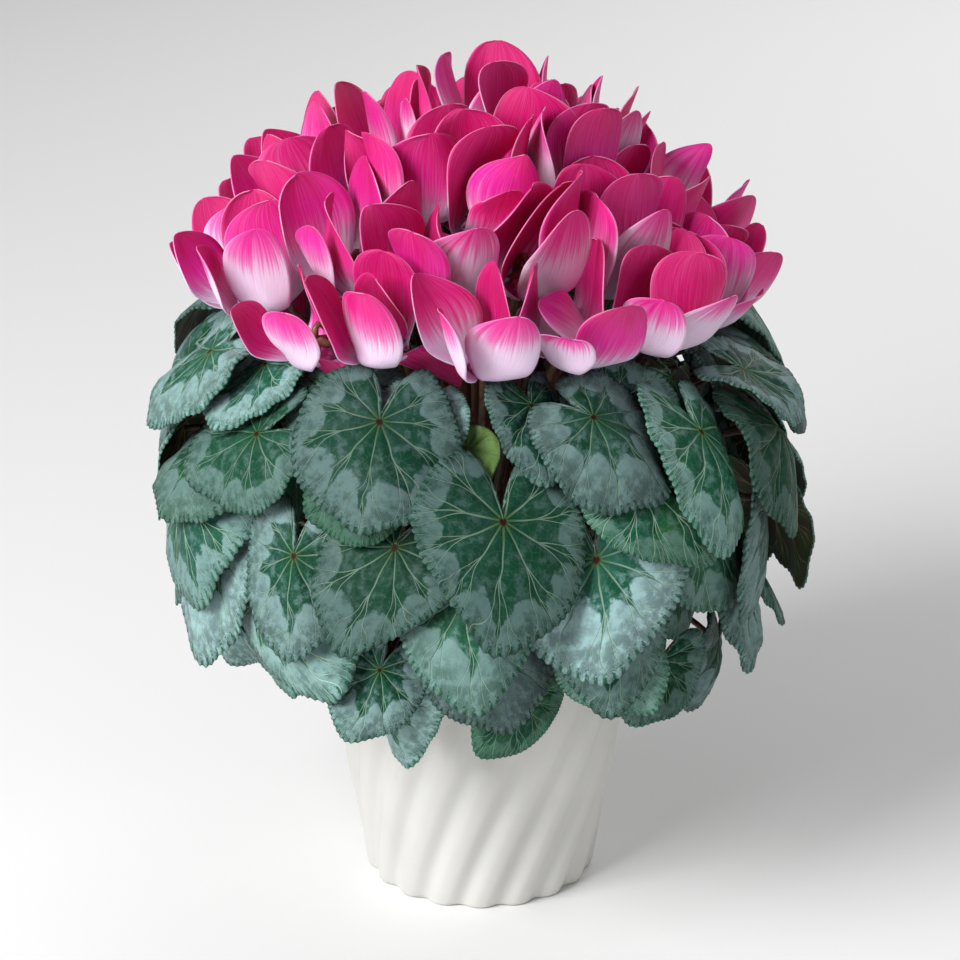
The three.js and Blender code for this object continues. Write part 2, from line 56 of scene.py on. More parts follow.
bl_info = {
    "name": "Potted cyclamen",
    "version": (1, 0, 0),
    "blender": (4, 5, 0),
    "location": "View3D > Sidebar > Cyclamen",
    "description": "Builds a potted cyclamen in full bloom, piece by piece",
    "category": "Add Mesh",
}

UP = Vector((0, 0, 1))
FULL_TURN = 2 * math.pi

# Plan of the plant. It is the same plan that its solids follow.

SECTORS = 16
TIERS = 4
LOWEST_TIER = 0.152
TIER_STEP = 0.031

# The stub on the corm that a bunch of leaves grows from
SHOOT = Values(circle=0.0254, radius=0.0042, height=0.009)

# Each leaf has its own seed, and its place sways by up to so much
LEAF_SEED = 10294
SECTOR_SEEDS = 8
LEAF_SWAY = Values(azimuth=3, height=0.0015, swing=18, length=0.1, slope=1, roll=4)

# Least height between blades of the same sector and of sectors beside it, and how blades that are
# closer are moved apart
LAYER = Values(same=0.018, beside=0.0128, lowest=0.134, highest=0.258, breadth=0.66, radius=0.130,
               sweeps=60, share=0.3)

# How a blade bends along its length, folds across it and waves round its edge
BLADE = Values(bend=2.2, fold=1.0, wave=0.00105, waves=5)
BLADE_SWAY = Values(bend=0.4, fold=0.6, wave=0.0004)

# Outline of a blade, as shares of its length and angles in degrees
HEART = Values(round=0.7, longer=0.13, slimmer=0.06, tip=0.14, tip_width=15, notch=0.52,
               notch_width=15)

# A leaf stalk's root on the corm, its arch and where it meets the blade
PETIOLE = Values(outermost=0.028, inward=0.0012, aside=0.0017, arch_height=0.166, arch_step=0.011,
                 arch_above=0.004, arch_reach=0.62, arch_turn=0.6, under=0.0025, beside=0.001,
                 behind=0.0014)

# Height, distance from the axis and slope in degrees of the blade for each tier
FOLIAGE = (
    (0.138, 0.118, 9),
    (0.152, 0.124, 12),
    (0.180, 0.133, 17),
    (0.207, 0.135, 26),
    (0.230, 0.131, 35),
    (0.246, 0.126, 46),
    (0.263, 0.119, 57),
)

# Leaves at the front that hang as the photographed plant's do: by sector and tier, the azimuth in
# degrees, the height, the swing in degrees and the length
POSED_LEAVES = {
    (0, 0): (9, 0.139, -12, 0.044),
    (0, 1): (1, 0.166, -2, 0.052),
    (0, 2): (-3, 0.188, 6, 0.048),
    (0, 3): (4, 0.231, -4, 0.052),
    (1, 0): (24, 0.151, 8, 0.045),
    (1, 2): (21, 0.209, -8, 0.054),
    (1, 3): (30, 0.239, 38, 0.050),
    (2, 0): (39, 0.139, 4, 0.046),
    (2, 1): (45, 0.178, -6, 0.046),
    (13, 0): (-62, 0.160, -6, 0.045),
    (13, 1): (-60, 0.190, 8, 0.052),
    (14, 0): (-48, 0.169, 6, 0.044),
    (14, 2): (-35, 0.207, -5, 0.048),
    (15, 1): (-20, 0.157, -7, 0.053),
    (15, 2): (-15, 0.211, -9, 0.046),
    (15, 3): (-21, 0.240, -10, 0.040),
}

# How young and how silvery some of those leaves look, from 0 to 1
LEAF_LOOKS = {
    (0, 0): (0.9, 0.2),
    (0, 1): (0.1, 0.9),
    (0, 3): (0.2, 0.3),
    (1, 0): (0.6, 0.5),
    (1, 2): (0.0, 1.0),
    (1, 3): (0.8, 0.3),
    (2, 0): (0.4, 0.4),
    (13, 1): (0.0, 0.9),
    (15, 1): (0.1, 0.7),
    (15, 2): (0.3, 0.4),
    (15, 3): (0.9, 0.2),
}

# One small young leaf in each sector, close under the blooms and between their stalks
YOUNG = Values(azimuth=11.25, height=0.263, radius=0.103, slope=44, length=0.034, tier=5, seed=20000)
YOUNG_SWAY = Values(azimuth=4, height=0.003, radius=0.003, slope=9, swing=24, length=0.14)

# More small leaves, in gaps: sector, azimuth, height, distance from the axis, slope, swing, length
# and how young it is, where 2 is a leaf that has just opened
GAP_LEAVES = (
    (0, -3, 0.246, 0.106, 30, 12, 0.020, 2),
    (1, 17, 0.236, 0.112, 34, -25, 0.022, 2),
    (14, -40, 0.166, 0.122, 14, 20, 0.024, 2),
    (14, -43, 0.236, 0.116, 22, 8, 0.032, 0.6),
    (8, 188, 0.284, 0.100, 42, 0, 0.031, 0.4),
    (7, 157, 0.257, 0.109, 38, 5, 0.033, 0.3),
)
GAP_TIER = 6
GAP_SEED = 21000
GAP_SILVER = 0.1

# Least and most that other leaves are silvery, and how dark and light whole leaves are
SILVER = (0.25, 1)
TONE = (0.45, 1.23)

# How much more the finer blades bend, fold, crease, curl, turn and vary than their solids
SUPPLE = Values(bend=1.2, bend_sway=2.2, fold=1.2, fold_sway=3.4, crease=0.07, curl=-0.002,
                curl_sway=0.012, curl_side=2.2, pitch=12, roll=22, swing=27, slim=0.14, uneven=0.045,
                folded=0.24, folded_share=0.25, length=0.09)

# Relief of a blade: its teeth, a broad sway, a fine ruffle, pillows between the veins and a hem
RELIEF = Values(tooth=0.022, sway=0.0026, ruffle=0.0007, ruffles=13, pillow=0.0007, hem=0.0010)

# The lowest blades are shorter and stand off the pot: from full effect up to none, in height
LOW_BLADES = Values(full=0.142, none=0.194, shorter=0.36, off=12)

# Past this distance from the axis only a share of what a blade would reach is left
BLADE_REACH = Values(free=0.142, share=0.5)

# Angle between two main veins
VEIN_SPACING = math.radians(33)

# Blooms, in rings from the outermost to the middle: count, distance from the axis, height and lean
RINGS = (
    (16, 0.0955, 0.281, 12),
    (11, 0.067, 0.305, 9),
    (7, 0.039, 0.326, 5),
    (2, 0.012, 0.339, 2),
)

# Each bloom has its own seed, and its place and size sway by up to so much
BLOOM_SEED = 1000
RING_SEEDS = 40
BLOOM_SWAY = Values(spacing=0.14, radius=0.005, height=0.007, lean=4, turn=14, size=0.06)

# A petal's measures, with its angles in degrees, and how much they sway
PETAL = Values(count=5, root=0.0034, spread=0.012, lean=14, cup=9, pinwheel=34, curl=-0.001,
               foot_cup=42, ruffle=0.0016)
PETAL_SWAY = Values(length=0.05, lean=9, cup=12, twist=20, drift=0.005, curl=0.007, white=0.22)

# On the outer side of a bloom the petals lean further out, by a share of these degrees for each ring
OPEN_SIDE = (0.8, 0.5, 0.3, 0.2)
OPEN_LEAN = 18

# Petals that hang down instead: number of the outer bloom and of its petal, lean in degrees, cup
# and share of the full length
HANGING = {(15, 3): (138, 14, 0.66), (14, 3): (150, 60, 0.62), (6, 3): (140, 14, 0.66),
           (9, 1): (142, 30, 0.66), (12, 3): (138, 14, 0.6)}

# Mouth of a bloom, and its stalk: it rises outside the mouth and hooks over into the cap
THROAT = Values(radius=0.0086, top=-0.001, lip=-0.0033, outer_pole=0.005, inner_pole=0.0024)
STALK = Values(outside=0.0024, below=0.0075, bend_in=0.6, bend_up=0.72, foot=0.14, hook_from=0.8,
               hook_side=0.012, hook_top=0.019, hook_in=0.004, hook_over=0.011, calyx=0.006)

# Furthest that a petal reaches from its bloom's axis. Towards a neighbour it may take so many times
# its half of the room between them, less a gap. Blooms further off than this are no neighbours.
BLOOM_REACH = 0.035
BLOOM_GAP = 0.0013
BLOOM_FREEDOM = 1.75
BLOOM_NEAR = 0.085

# Sheets that touch are moved apart in sweeps of small trials, which get smaller. How much each may
# give: a petal leans, swings and twists, and a blade pitches, rolls, swings and lifts.
EASE = Values(seed=11, sweeps=12, trials=4, more_trials=18, first_step=1.3, shrink=0.9,
              stiffness=0.03, crossing=0.6)
PETAL_GIVE = (math.radians(12), math.radians(12), math.radians(16))
BLADE_GIVE = (math.radians(5), math.radians(7), math.radians(8), 0.0022)
PETAL_CLEARANCE = 0.0060
BLADE_CLEARANCE = 0.0050
PETAL_NEAR = 0.075
BLADE_NEAR = 0.11

# The pot's small radii, its flat underside, its lowest fluted row, the height at which its bore is
# drawn and how far under the lip its flutes fade out
POT = Values(fillet=0.0018, edge=0.0012, flat=0.035, lowest_row=0.006, bore_at=0.06,
             flute_fade=0.009)
DRAINS = Values(count=5, circle=0.030, radius=0.004)

# The soil is heaped round the corm, with a lumpy surface and crumbs strewn over it
SOIL = Values(top=0.112, heap_radius=0.041, heap_top=0.115, seat=0.0003, lump=0.0011)
CRUMB = Values(count=420, seed=5000, least=0.0007, more=0.0016, sunk=0.2, off_corm=0.004,
               off_pot=0.003)
CORM = Values(bottom=0.097, foot_radius=0.023, widest_from=0.106, widest_to=0.115, radius=0.033,
              crown=0.124, crown_radius=0.030, fold=0.0007, folds=7, slant=240)
STAND_ON = CORM.crown + SOIL.seat

# How finely the pieces are drawn: points round a flute and a ring, rows of the pot and of the heap,
# sides and steps of a stalk, columns and rows of a petal, and rings of a blade
SIDES = Values(flute=16, drain=28, soil=128, corm=72, stub=18, mouth=30, calyx=20)
ROWS = Values(pot=26, heap=9)
LEAF_ROD = (9, 18)
BLOOM_ROD = (10, 34)
PETAL_GRID = (14, 24)
BLADE_RINGS = (1.0, 0.955, 0.885, 0.79, 0.66, 0.52, 0.38, 0.25, 0.12, 0)


# Sizes and colours to change

def measure(name, text, default, **limits):
    return FloatProperty(name=name, description=text, default=default, **limits)


def length(name, text, default):
    return measure(name, text, default, unit="LENGTH", precision=4)


def colour(name, text, default):
    return FloatVectorProperty(name=name, description=text, default=default, size=3, min=0, max=1,
                               subtype="COLOR")


class CyclamenPot(bpy.types.PropertyGroup):
    """Sizes and colour of the pot"""
    height: length("Height", "From the foot to the lip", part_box("pot")[1].z)
    foot_radius: length("Foot radius", "Radius over the ribs at the foot", 0.053)
    top_radius: length("Top radius", "Radius over the ribs under the lip", 0.073)
    lip_radius: length("Lip radius", "Outer radius of the plain lip", 0.075)
    lip_height: length("Lip height", "Height of the plain lip", 0.007)
    wall: length("Wall", "From the outside of a rib to the inside", 0.0042)
    floor: length("Floor", "Thickness of the floor", 0.0025)
    flutes: IntProperty(name="Flutes", description="Grooves round the pot", default=18, min=3)
    flute_depth: length("Flute depth", "Depth of a groove", 0.0026)
    twist: measure("Twist", "Turn of a flute for each metre of height", FULL_TURN, subtype="ANGLE")
    colour: colour("Colour", "Colour of the plastic", (0.645, 0.640, 0.615))


class CyclamenEarth(bpy.types.PropertyGroup):
    """Colours of the soil and of the corm in it"""
    soil: colour("Soil", "Colour of the moist soil", (0.035, 0.022, 0.014))
    crumb: colour("Crumbs", "Colour of the dry crumbs", (0.10, 0.062, 0.036))
    corm: colour("Corm", "Colour of the corky corm", (0.14, 0.075, 0.042))


class CyclamenLeaves(bpy.types.PropertyGroup):
    """Sizes and colours of the leaves"""
    length: length("Length", "Length of a blade from its stalk, before its own variation", 0.050)
    thickness: length("Thickness", "Thickness of a blade", 0.0009)
    stalk_radius: length("Stalk radius", "Radius of a leaf stalk", 0.0016)
    teeth: IntProperty(name="Teeth", description="Teeth round the edge", default=72, min=20)
    dark: colour("Dark zone", "Colour of the star round the stalk", (0.004, 0.040, 0.030))
    teal: colour("Soft dark zone", "Colour of the star on other leaves", (0.026, 0.118, 0.086))
    green: colour("Green", "Colour of the blade's edge", (0.008, 0.080, 0.040))
    fresh: colour("Young green", "Colour of a young leaf", (0.018, 0.120, 0.034))
    newest: colour("Newest green", "Colour of the youngest leaves", (0.165, 0.255, 0.070))
    silver: colour("Silver", "Colour of the marbled band", (0.330, 0.510, 0.515))
    vein: colour("Veins", "Colour of the veins", (0.34, 0.53, 0.40))
    under: colour("Underside", "Colour of the underside", (0.044, 0.060, 0.026))


class CyclamenBlooms(bpy.types.PropertyGroup):
    """Sizes and colours of the blooms"""
    length: length("Petal length", "Length of a petal, before its own variation", 0.050)
    breadth: length("Petal breadth", "Measure of a petal's breadth", 0.0315)
    thickness: length("Petal thickness", "Thickness of a petal", 0.0005)
    stalk_radius: length("Stalk radius", "Radius of a bloom's stalk", 0.0016)
    white: measure("White", "Share of a petal's outer face that is white", 0.50, min=0, max=1)
    pink: colour("Pink", "Colour of a petal's upper half", (0.74, 0.010, 0.345))
    rosy: colour("Rosy pink", "Colour of the upper half of other petals", (0.80, 0.013, 0.225))
    tip: colour("Tip", "Colour of a petal's tip", (0.62, 0.003, 0.155))
    base: colour("Base", "Colour of a petal's white foot", (0.81, 0.63, 0.82))
    eye: colour("Eye", "Colour of the mouth's rim", (0.33, 0.012, 0.120))
    stalk: colour("Stalk", "Colour of a bloom's stalk", (0.170, 0.062, 0.038))


class CyclamenStage(bpy.types.PropertyGroup):
    """Camera, floor and lights"""
    distance: length("Camera distance", "From the camera to the middle of the plant", 1.5)
    middle: length("Aim height", "Height that the camera looks at", 0.19)
    elevation: measure("Elevation", "How far the camera looks down", math.radians(22), subtype="ANGLE")
    lens: measure("Lens", "Focal length", 125, unit="CAMERA")
    floor_size: length("Floor size", "Side of the square floor", 12)
    floor_colour: colour("Floor colour", "Colour of the floor", (0.86, 0.86, 0.86))
    key_power: measure("Key light", "Power of the key light in watts", 53, min=0)
    fill_power: measure("Fill light", "Power of the fill light in watts", 5, min=0)
    back_power: measure("Back light", "Power of the back light in watts", 16, min=0)
    sky: measure("Sky", "Strength of the even light", 0.285, min=0)


# Fixed draws and directions

def draw(number):
    """A fixed draw between 0 and 1 for each number, from the far digits of a sine"""
    value = math.sin(number * 12.9898) * 43758.5453
    return value - math.floor(value)


def sway(number, amount):
    """A fixed draw between -amount and +amount"""
    return (2 * draw(number) - 1) * amount


def outward(azimuth):
    return Vector((math.sin(azimuth), -math.cos(azimuth), 0))


def sideways(azimuth):
    return Vector((math.cos(azimuth), math.sin(azimuth), 0))


def mix(first, second, part):
    return first + (second - first) * part


def smoothstep(value, low, high):
    part = np.clip((value - low) / (high - low), 0, 1)
    return part * part * (3 - 2 * part)


def spread(values, direction):
    """One row of three numbers for each value: so far along the direction"""
    return np.outer(values, np.array(direction))


# Places of the leaves

def sector_azimuth(sector):
    return 360 / SECTORS * (sector - SECTORS if sector > SECTORS / 2 else sector)


def first_place(sector, tier, leaf_length):
    seed = LEAF_SEED + sector * SECTOR_SEEDS + tier
    shift = -TIER_STEP / 2 if sector % 2 else 0
    place = Values(
        sector=sector, tier=tier, seed=seed,
        azimuth=sector_azimuth(sector) + sway(seed + 0.2, LEAF_SWAY.azimuth),
        height=LOWEST_TIER + tier * TIER_STEP + shift + sway(seed + 0.1, LEAF_SWAY.height),
        swing=sway(seed + 0.4, LEAF_SWAY.swing),
        length=leaf_length * (1 + sway(seed + 0.6, LEAF_SWAY.length)), stand=None)
    posed = POSED_LEAVES.get((sector, tier))
    if posed:
        place.azimuth, place.height, place.swing, place.length = posed
    return place


def layer_shortfall(first, second):
    turn = abs(first.azimuth - second.azimuth)
    apart = math.radians(min(turn, 360 - turn)) * LAYER.radius
    if apart > LAYER.breadth * (first.length + second.length):
        return 0
    least = LAYER.same if first.sector == second.sector else LAYER.beside
    return max(0, least - abs(second.height - first.height))


def kept_in(height):
    return min(max(height, LAYER.lowest), LAYER.highest)


def settle(places):
    """Two blades that would lie in one layer move apart, up and down, until each has its own"""
    for _ in range(LAYER.sweeps):
        for number, first in enumerate(places):
            for second in places[number + 1:]:
                short = layer_shortfall(first, second)
                if short:
                    push = short * LAYER.share * (-1 if second.height < first.height else 1)
                    first.height = kept_in(first.height - push)
                    second.height = kept_in(second.height + push)


def shingle(height):
    """Distance from the axis and slope of a blade that hangs at a height"""
    tier = 0
    while tier < len(FOLIAGE) - 2 and height > FOLIAGE[tier + 1][0]:
        tier += 1
    low, high = FOLIAGE[tier], FOLIAGE[tier + 1]
    part = (height - low[0]) / (high[0] - low[0])
    return mix(low[1], high[1], part), mix(low[2], high[2], part)


def finish_place(place):
    """Adds how the blade hangs, bends and waves, and its own directions"""
    seed = place.seed
    place.radius, slope = place.stand or shingle(place.height)
    place.azimuth = math.radians(place.azimuth)
    slope = math.radians(slope + sway(seed + 0.3, LEAF_SWAY.slope))
    swing = math.radians(place.swing)
    roll = math.radians(sway(seed + 0.5, LEAF_SWAY.roll))
    place.bend = BLADE.bend + sway(seed + 0.7, BLADE_SWAY.bend)
    place.fold = BLADE.fold + sway(seed + 0.8, BLADE_SWAY.fold)
    place.wave = BLADE.wave + sway(seed + 0.9, BLADE_SWAY.wave)
    place.phase = FULL_TURN * draw(seed + 0.95)
    out = outward(place.azimuth)
    down = out * math.sin(slope) - UP * math.cos(slope)
    face = out * math.cos(slope) + UP * math.sin(slope)
    place.down = Quaternion(face, swing) @ down
    rolled = Quaternion(place.down, roll)
    place.side = rolled @ (Quaternion(face, swing) @ sideways(place.azimuth))
    place.face = rolled @ face
    place.stalk_end = out * place.radius + UP * place.height

    # The finer blades have all this besides
    place.bend += SUPPLE.bend + sway(seed + 0.12, SUPPLE.bend_sway)
    place.fold += SUPPLE.fold + sway(seed + 0.22, SUPPLE.fold_sway)
    place.crease = SUPPLE.crease * (1 + sway(seed + 0.82, 1)) + (
        SUPPLE.folded if draw(seed + 0.57) < SUPPLE.folded_share else 0)
    place.slim = 1 - SUPPLE.slim * draw(seed + 0.92)
    place.curl = SUPPLE.curl + sway(seed + 0.32, SUPPLE.curl_sway)
    place.curl_towards = sway(seed + 0.42, SUPPLE.curl_side)
    low = 1 - float(smoothstep(place.height, LOW_BLADES.full, LOW_BLADES.none))
    place.length *= (1 - LOW_BLADES.shorter * low) * (1 + sway(seed + 0.02, SUPPLE.length))
    pitch = sway(seed + 0.52, SUPPLE.pitch) - LOW_BLADES.off * low
    place.pose = np.radians([pitch, sway(seed + 0.62, SUPPLE.roll),
                             sway(seed + 0.72, SUPPLE.swing), 0])


def young_place(sector):
    seed = YOUNG.seed + sector * SECTOR_SEEDS
    return Values(
        sector=sector, tier=YOUNG.tier, seed=seed,
        azimuth=sector_azimuth(sector) + YOUNG.azimuth + sway(seed + 0.2, YOUNG_SWAY.azimuth),
        height=YOUNG.height + sway(seed + 0.1, YOUNG_SWAY.height),
        swing=sway(seed + 0.4, YOUNG_SWAY.swing),
        length=YOUNG.length * (1 + sway(seed + 0.6, YOUNG_SWAY.length)),
        stand=(YOUNG.radius + sway(seed + 0.8, YOUNG_SWAY.radius),
               YOUNG.slope + sway(seed + 0.9, YOUNG_SWAY.slope)))


def gap_place(number, sector, azimuth, height, radius, slope, swing, leaf_length, fresh):
    return Values(sector=sector, tier=GAP_TIER, seed=GAP_SEED + number * SECTOR_SEEDS, fresh=fresh,
                  azimuth=azimuth, height=height, swing=swing, length=leaf_length,
                  stand=(radius, slope))


def leaf_places(leaf_length):
    places = [first_place(sector, tier, leaf_length)
              for sector in range(SECTORS) for tier in range(TIERS + sector % 2)]
    settle(places)
    places += [young_place(sector) for sector in range(SECTORS)]
    places += [gap_place(number, *leaf) for number, leaf in enumerate(GAP_LEAVES)]
    for place in places:
        finish_place(place)
    return places


# Places of the blooms

def bloom_place(ring, number):
    count, radius, height, lean = RINGS[ring]
    seed = BLOOM_SEED + ring * RING_SEEDS + number
    turns = number + (ring % 2) / 2 + sway(seed + 0.1, BLOOM_SWAY.spacing)
    azimuth = FULL_TURN / count * turns
    out = outward(azimuth)
    tilt = math.radians(lean + sway(seed + 0.4, BLOOM_SWAY.lean))
    level = height + sway(seed + 0.3, BLOOM_SWAY.height)
    axis = out * math.sin(tilt) + UP * math.cos(tilt)
    turn = math.radians(sway(seed + 0.5, BLOOM_SWAY.turn))
    inward = Quaternion(axis, turn) @ -out
    inward = (inward - axis * inward.dot(axis)).normalized()
    return Values(
        seed=seed, ring=ring, number=number, azimuth=azimuth, axis=axis, inward=inward,
        across=axis.cross(inward),
        mouth=out * (radius + sway(seed + 0.2, BLOOM_SWAY.radius)) + UP * level,
        size=1 + sway(seed + 0.6, BLOOM_SWAY.size))


def bloom_places():
    blooms = [bloom_place(ring, number)
              for ring, row in enumerate(RINGS) for number in range(row[0])]
    for bloom in blooms:
        bloom.neighbours = [other for other in blooms if other is not bloom
                            and (other.mouth - bloom.mouth).length < BLOOM_NEAR]
    return blooms


def room_around(bloom, heights, directions):
    """How far a petal may reach from its own axis, past the middle towards each neighbour"""
    room = np.full(len(heights), BLOOM_REACH)
    centres = np.array(bloom.mouth) + spread(heights, bloom.axis)
    for other in bloom.neighbours:
        axis = np.array(other.axis)
        offset = centres - np.array(other.mouth)
        rise = offset @ axis
        tilt = directions @ axis
        square = (offset ** 2).sum(1) - rise ** 2
        closing = (offset * directions).sum(1) - rise * tilt
        halfway = square / (np.sqrt(closing ** 2 + tilt ** 2 * square) - closing)
        room = np.minimum(room, (halfway - BLOOM_GAP) * BLOOM_FREEDOM)
    return room


def bent_in(distance, room):
    """Bends a distance from the axis in smoothly, so that it never passes the room there is"""
    free = 0.6
    part = distance / room
    bent = room * (free + (1 - free) * (1 - np.exp(-(part - free) / (1 - free))))
    return np.where(part < free, distance, bent)


# Sheets that lie clear of each other

def crowding(cloud, rest, clearance):
    """How much a sheet's points press on those of the others"""
    square = ((cloud ** 2).sum(1)[:, None] + (rest ** 2).sum(1)[None] - 2 * cloud @ rest.T)
    near = square[square < clearance ** 2]
    return ((1 - np.sqrt(np.maximum(near, 0)) / clearance) ** 2).sum()


def sheet_faces(rows, columns, closed, count):
    """Corner numbers of the faces of so many sheets, each of so many rows of points"""
    faces = []
    for first in range(0, count * rows * columns, rows * columns):
        for row in range(first, first + (rows - 1) * columns, columns):
            for column in range(columns if closed else columns - 1):
                ahead = (column + 1) % columns
                faces.append((row + column, row + ahead, row + columns + ahead,
                              row + columns + column))
    return faces


def ease_apart(sheets, cloud_of, grid, give, clearance, reach):
    """Small turns of each sheet, kept where they bring it clear of the others"""
    chance = np.random.default_rng(EASE.seed)
    give = np.array(give)
    clouds = np.array([cloud_of(sheet) for sheet in sheets])
    middles = clouds.mean(1)
    rows, columns, closed = grid
    faces = sheet_faces(rows, columns, closed, len(sheets))
    own = len(faces) // len(sheets)
    for sheet in sheets:
        sheet.wanted, sheet.crossed = sheet.pose.copy(), True
    for sweep in range(EASE.sweeps):
        step = EASE.first_step - EASE.shrink * sweep / EASE.sweeps
        for number, sheet in enumerate(sheets):
            near = np.linalg.norm(middles - middles[number], axis=1) < reach
            near[number] = False
            rest = clouds[near].reshape(-1, 3)
            others = BVHTree.FromPolygons(rest.tolist(), faces[:own * int(near.sum())])
            best = None
            trials = [sheet.pose] + [
                sheet.pose + chance.normal(size=len(give)) * give * step
                for _ in range(EASE.more_trials if sheet.crossed else EASE.trials)]
            for pose in trials:
                sheet.pose = pose
                cloud = cloud_of(sheet)
                crossed = len(BVHTree.FromPolygons(cloud.tolist(), faces[:own]).overlap(others))
                score = (crowding(cloud, rest, clearance) + EASE.crossing * crossed
                         + (((pose - sheet.wanted) / give) ** 2).sum() * EASE.stiffness)
                if best is None or score < best[0]:
                    best = score, pose, cloud, crossed > 0
            sheet.pose, clouds[number], sheet.crossed = best[1:]
            middles[number] = clouds[number].mean(0)


# Modelling with the operators

def mode(name):
    bpy.ops.object.mode_set(mode=name)


def deselect():
    if bpy.context.object and bpy.context.object.mode != "OBJECT":
        mode("OBJECT")
    bpy.ops.object.select_all(action="DESELECT")


def choose(piece):
    """Makes the piece the only one selected, and active"""
    deselect()
    piece.select_set(True)
    bpy.context.view_layer.objects.active = piece


def edit_whole(piece):
    """Opens the piece in edit mode with all of it selected"""
    choose(piece)
    mode("EDIT")
    bpy.ops.mesh.select_all(action="SELECT")


def points_of(piece):
    flat = np.empty(len(piece.data.vertices) * 3)
    piece.data.vertices.foreach_get("co", flat)
    return flat.reshape(-1, 3)


def off_axis(points):
    """Each point's distance from the Z axis"""
    return np.hypot(points[:, 0], points[:, 1])


def move_points(piece, points):
    piece.data.vertices.foreach_set("co", np.asarray(points, dtype=float).ravel())
    piece.data.update()


def copy_of(blank):
    """A copy with its own mesh, in the scene"""
    piece = blank.copy()
    piece.data = blank.data.copy()
    bpy.context.collection.objects.link(piece)
    return piece


def joined(pieces, name):
    """Joins pieces into the first one and names it"""
    choose(pieces[0])
    for piece in pieces:
        piece.select_set(True)
    bpy.ops.object.join()
    pieces[0].name = name
    pieces[0].data.name = name
    return pieces[0]


def remove(*blanks):
    for blank in blanks:
        bpy.data.objects.remove(blank)


def modify(piece, kind, **settings):
    """Adds a modifier and applies it"""
    choose(piece)
    bpy.ops.object.modifier_add(type=kind)
    modifier = piece.modifiers[-1]
    for name, value in settings.items():
        setattr(modifier, name, value)
    bpy.ops.object.modifier_apply(modifier=modifier.name)


def ring_stack(name, sides, rows):
    """A surface of rings, from rows of (radius, height). A row of radius 0 is a closed pole."""
    start = 1 if rows[0][0] == 0 else 0
    deselect()
    radius, height = rows[start]
    bpy.ops.mesh.primitive_circle_add(vertices=sides, radius=radius, location=(0, 0, height))
    piece = bpy.context.object
    bpy.ops.object.transform_apply(location=True, rotation=False, scale=False)
    edit_whole(piece)
    if start:
        bpy.ops.mesh.extrude_edges_move(TRANSFORM_OT_translate={"value": (0, 0, rows[0][1] - height)})
        bpy.ops.mesh.merge(type="CENTER")
        mode("OBJECT")
        for vertex in piece.data.vertices:
            vertex.select = math.hypot(vertex.co.x, vertex.co.y) > radius / 2
        mode("EDIT")
        bpy.ops.mesh.select_mode(type="VERT")
    for next_radius, next_height in rows[start + 1:]:
        rise = (0, 0, next_height - height)
        bpy.ops.mesh.extrude_edges_move(TRANSFORM_OT_translate={"value": rise})
        if next_radius == 0:
            bpy.ops.mesh.merge(type="CENTER")
        else:
            bpy.ops.transform.resize(value=(next_radius / radius, next_radius / radius, 1))
        radius, height = next_radius, next_height
    bpy.ops.mesh.select_all(action="SELECT")
    bpy.ops.mesh.normals_make_consistent(inside=False)
    mode("OBJECT")
    piece.name = name
    return piece


def rod_blank(name, sides, steps):
    """A straight closed rod of radius 1 and length 1, in even steps"""
    deselect()
    bpy.ops.mesh.primitive_cylinder_add(vertices=sides, radius=1, depth=1, location=(0, 0, 0.5))
    rod = bpy.context.object
    bpy.ops.object.transform_apply(location=True, rotation=False, scale=False)
    for step in range(1, steps):
        edit_whole(rod)
        bpy.ops.mesh.bisect(plane_co=(0, 0, step / steps), plane_no=(0, 0, 1))
    mode("OBJECT")
    rod.name = name
    return rod


def curve_points(corners, shares):
    """Points and headings of a Bezier curve of any degree, by repeated mixing"""
    level = [np.repeat(np.array(corner, dtype=float)[None], len(shares), 0) for corner in corners]
    part = np.asarray(shares)[:, None]
    while len(level) > 2:
        level = [mix(first, second, part) for first, second in zip(level, level[1:])]
    heading = level[1] - level[0]
    heading /= np.maximum(np.linalg.norm(heading, axis=1, keepdims=True), 1e-9)
    return mix(level[0], level[1], part), heading


def bent_rod(blank, centres_and_headings, radii, side):
    """Copies a rod blank along centres with headings, one for each of its points"""
    rod = copy_of(blank)
    points = points_of(rod)
    centre, heading = centres_and_headings(points[:, 2])
    side = np.array(side) - heading * (heading @ np.array(side))[:, None]
    side /= np.linalg.norm(side, axis=1, keepdims=True)
    back = np.cross(heading, side)
    radius = radii(points[:, 2])[:, None]
    move_points(rod, centre + radius * (side * points[:, :1] + back * points[:, 1:2]))
    return rod


def set_value(piece, name, values):
    """Stores one number for each point of the piece, for its material to read"""
    layer = piece.data.attributes.get(name)
    if layer is None:
        layer = piece.data.attributes.new(name, "FLOAT", "POINT")
    layer.data.foreach_set("value", np.broadcast_to(values, len(piece.data.vertices)).astype(float))


def lay_out(piece, layer, flat):
    """Stores a flat place for each point of the piece in its UV map"""
    corners = np.empty(len(piece.data.loops), dtype=np.int32)
    piece.data.loops.foreach_get("vertex_index", corners)
    layer.data.foreach_set("uv", flat[corners].ravel())


def paint(piece, materials, number=0):
    """Gives the piece its materials, and all its faces the one with this number"""
    piece.data.materials.clear()
    for material in materials:
        piece.data.materials.append(material)
    numbers = np.full(len(piece.data.polygons), number, dtype=np.int32)
    piece.data.polygons.foreach_set("material_index", numbers)


def hand_over(piece, slot_name, *nodes):
    """Sets the finished piece in the frame, in the nodes' place"""
    piece.data.shade_smooth()
    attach(piece, "root")
    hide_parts(*nodes)


# Materials

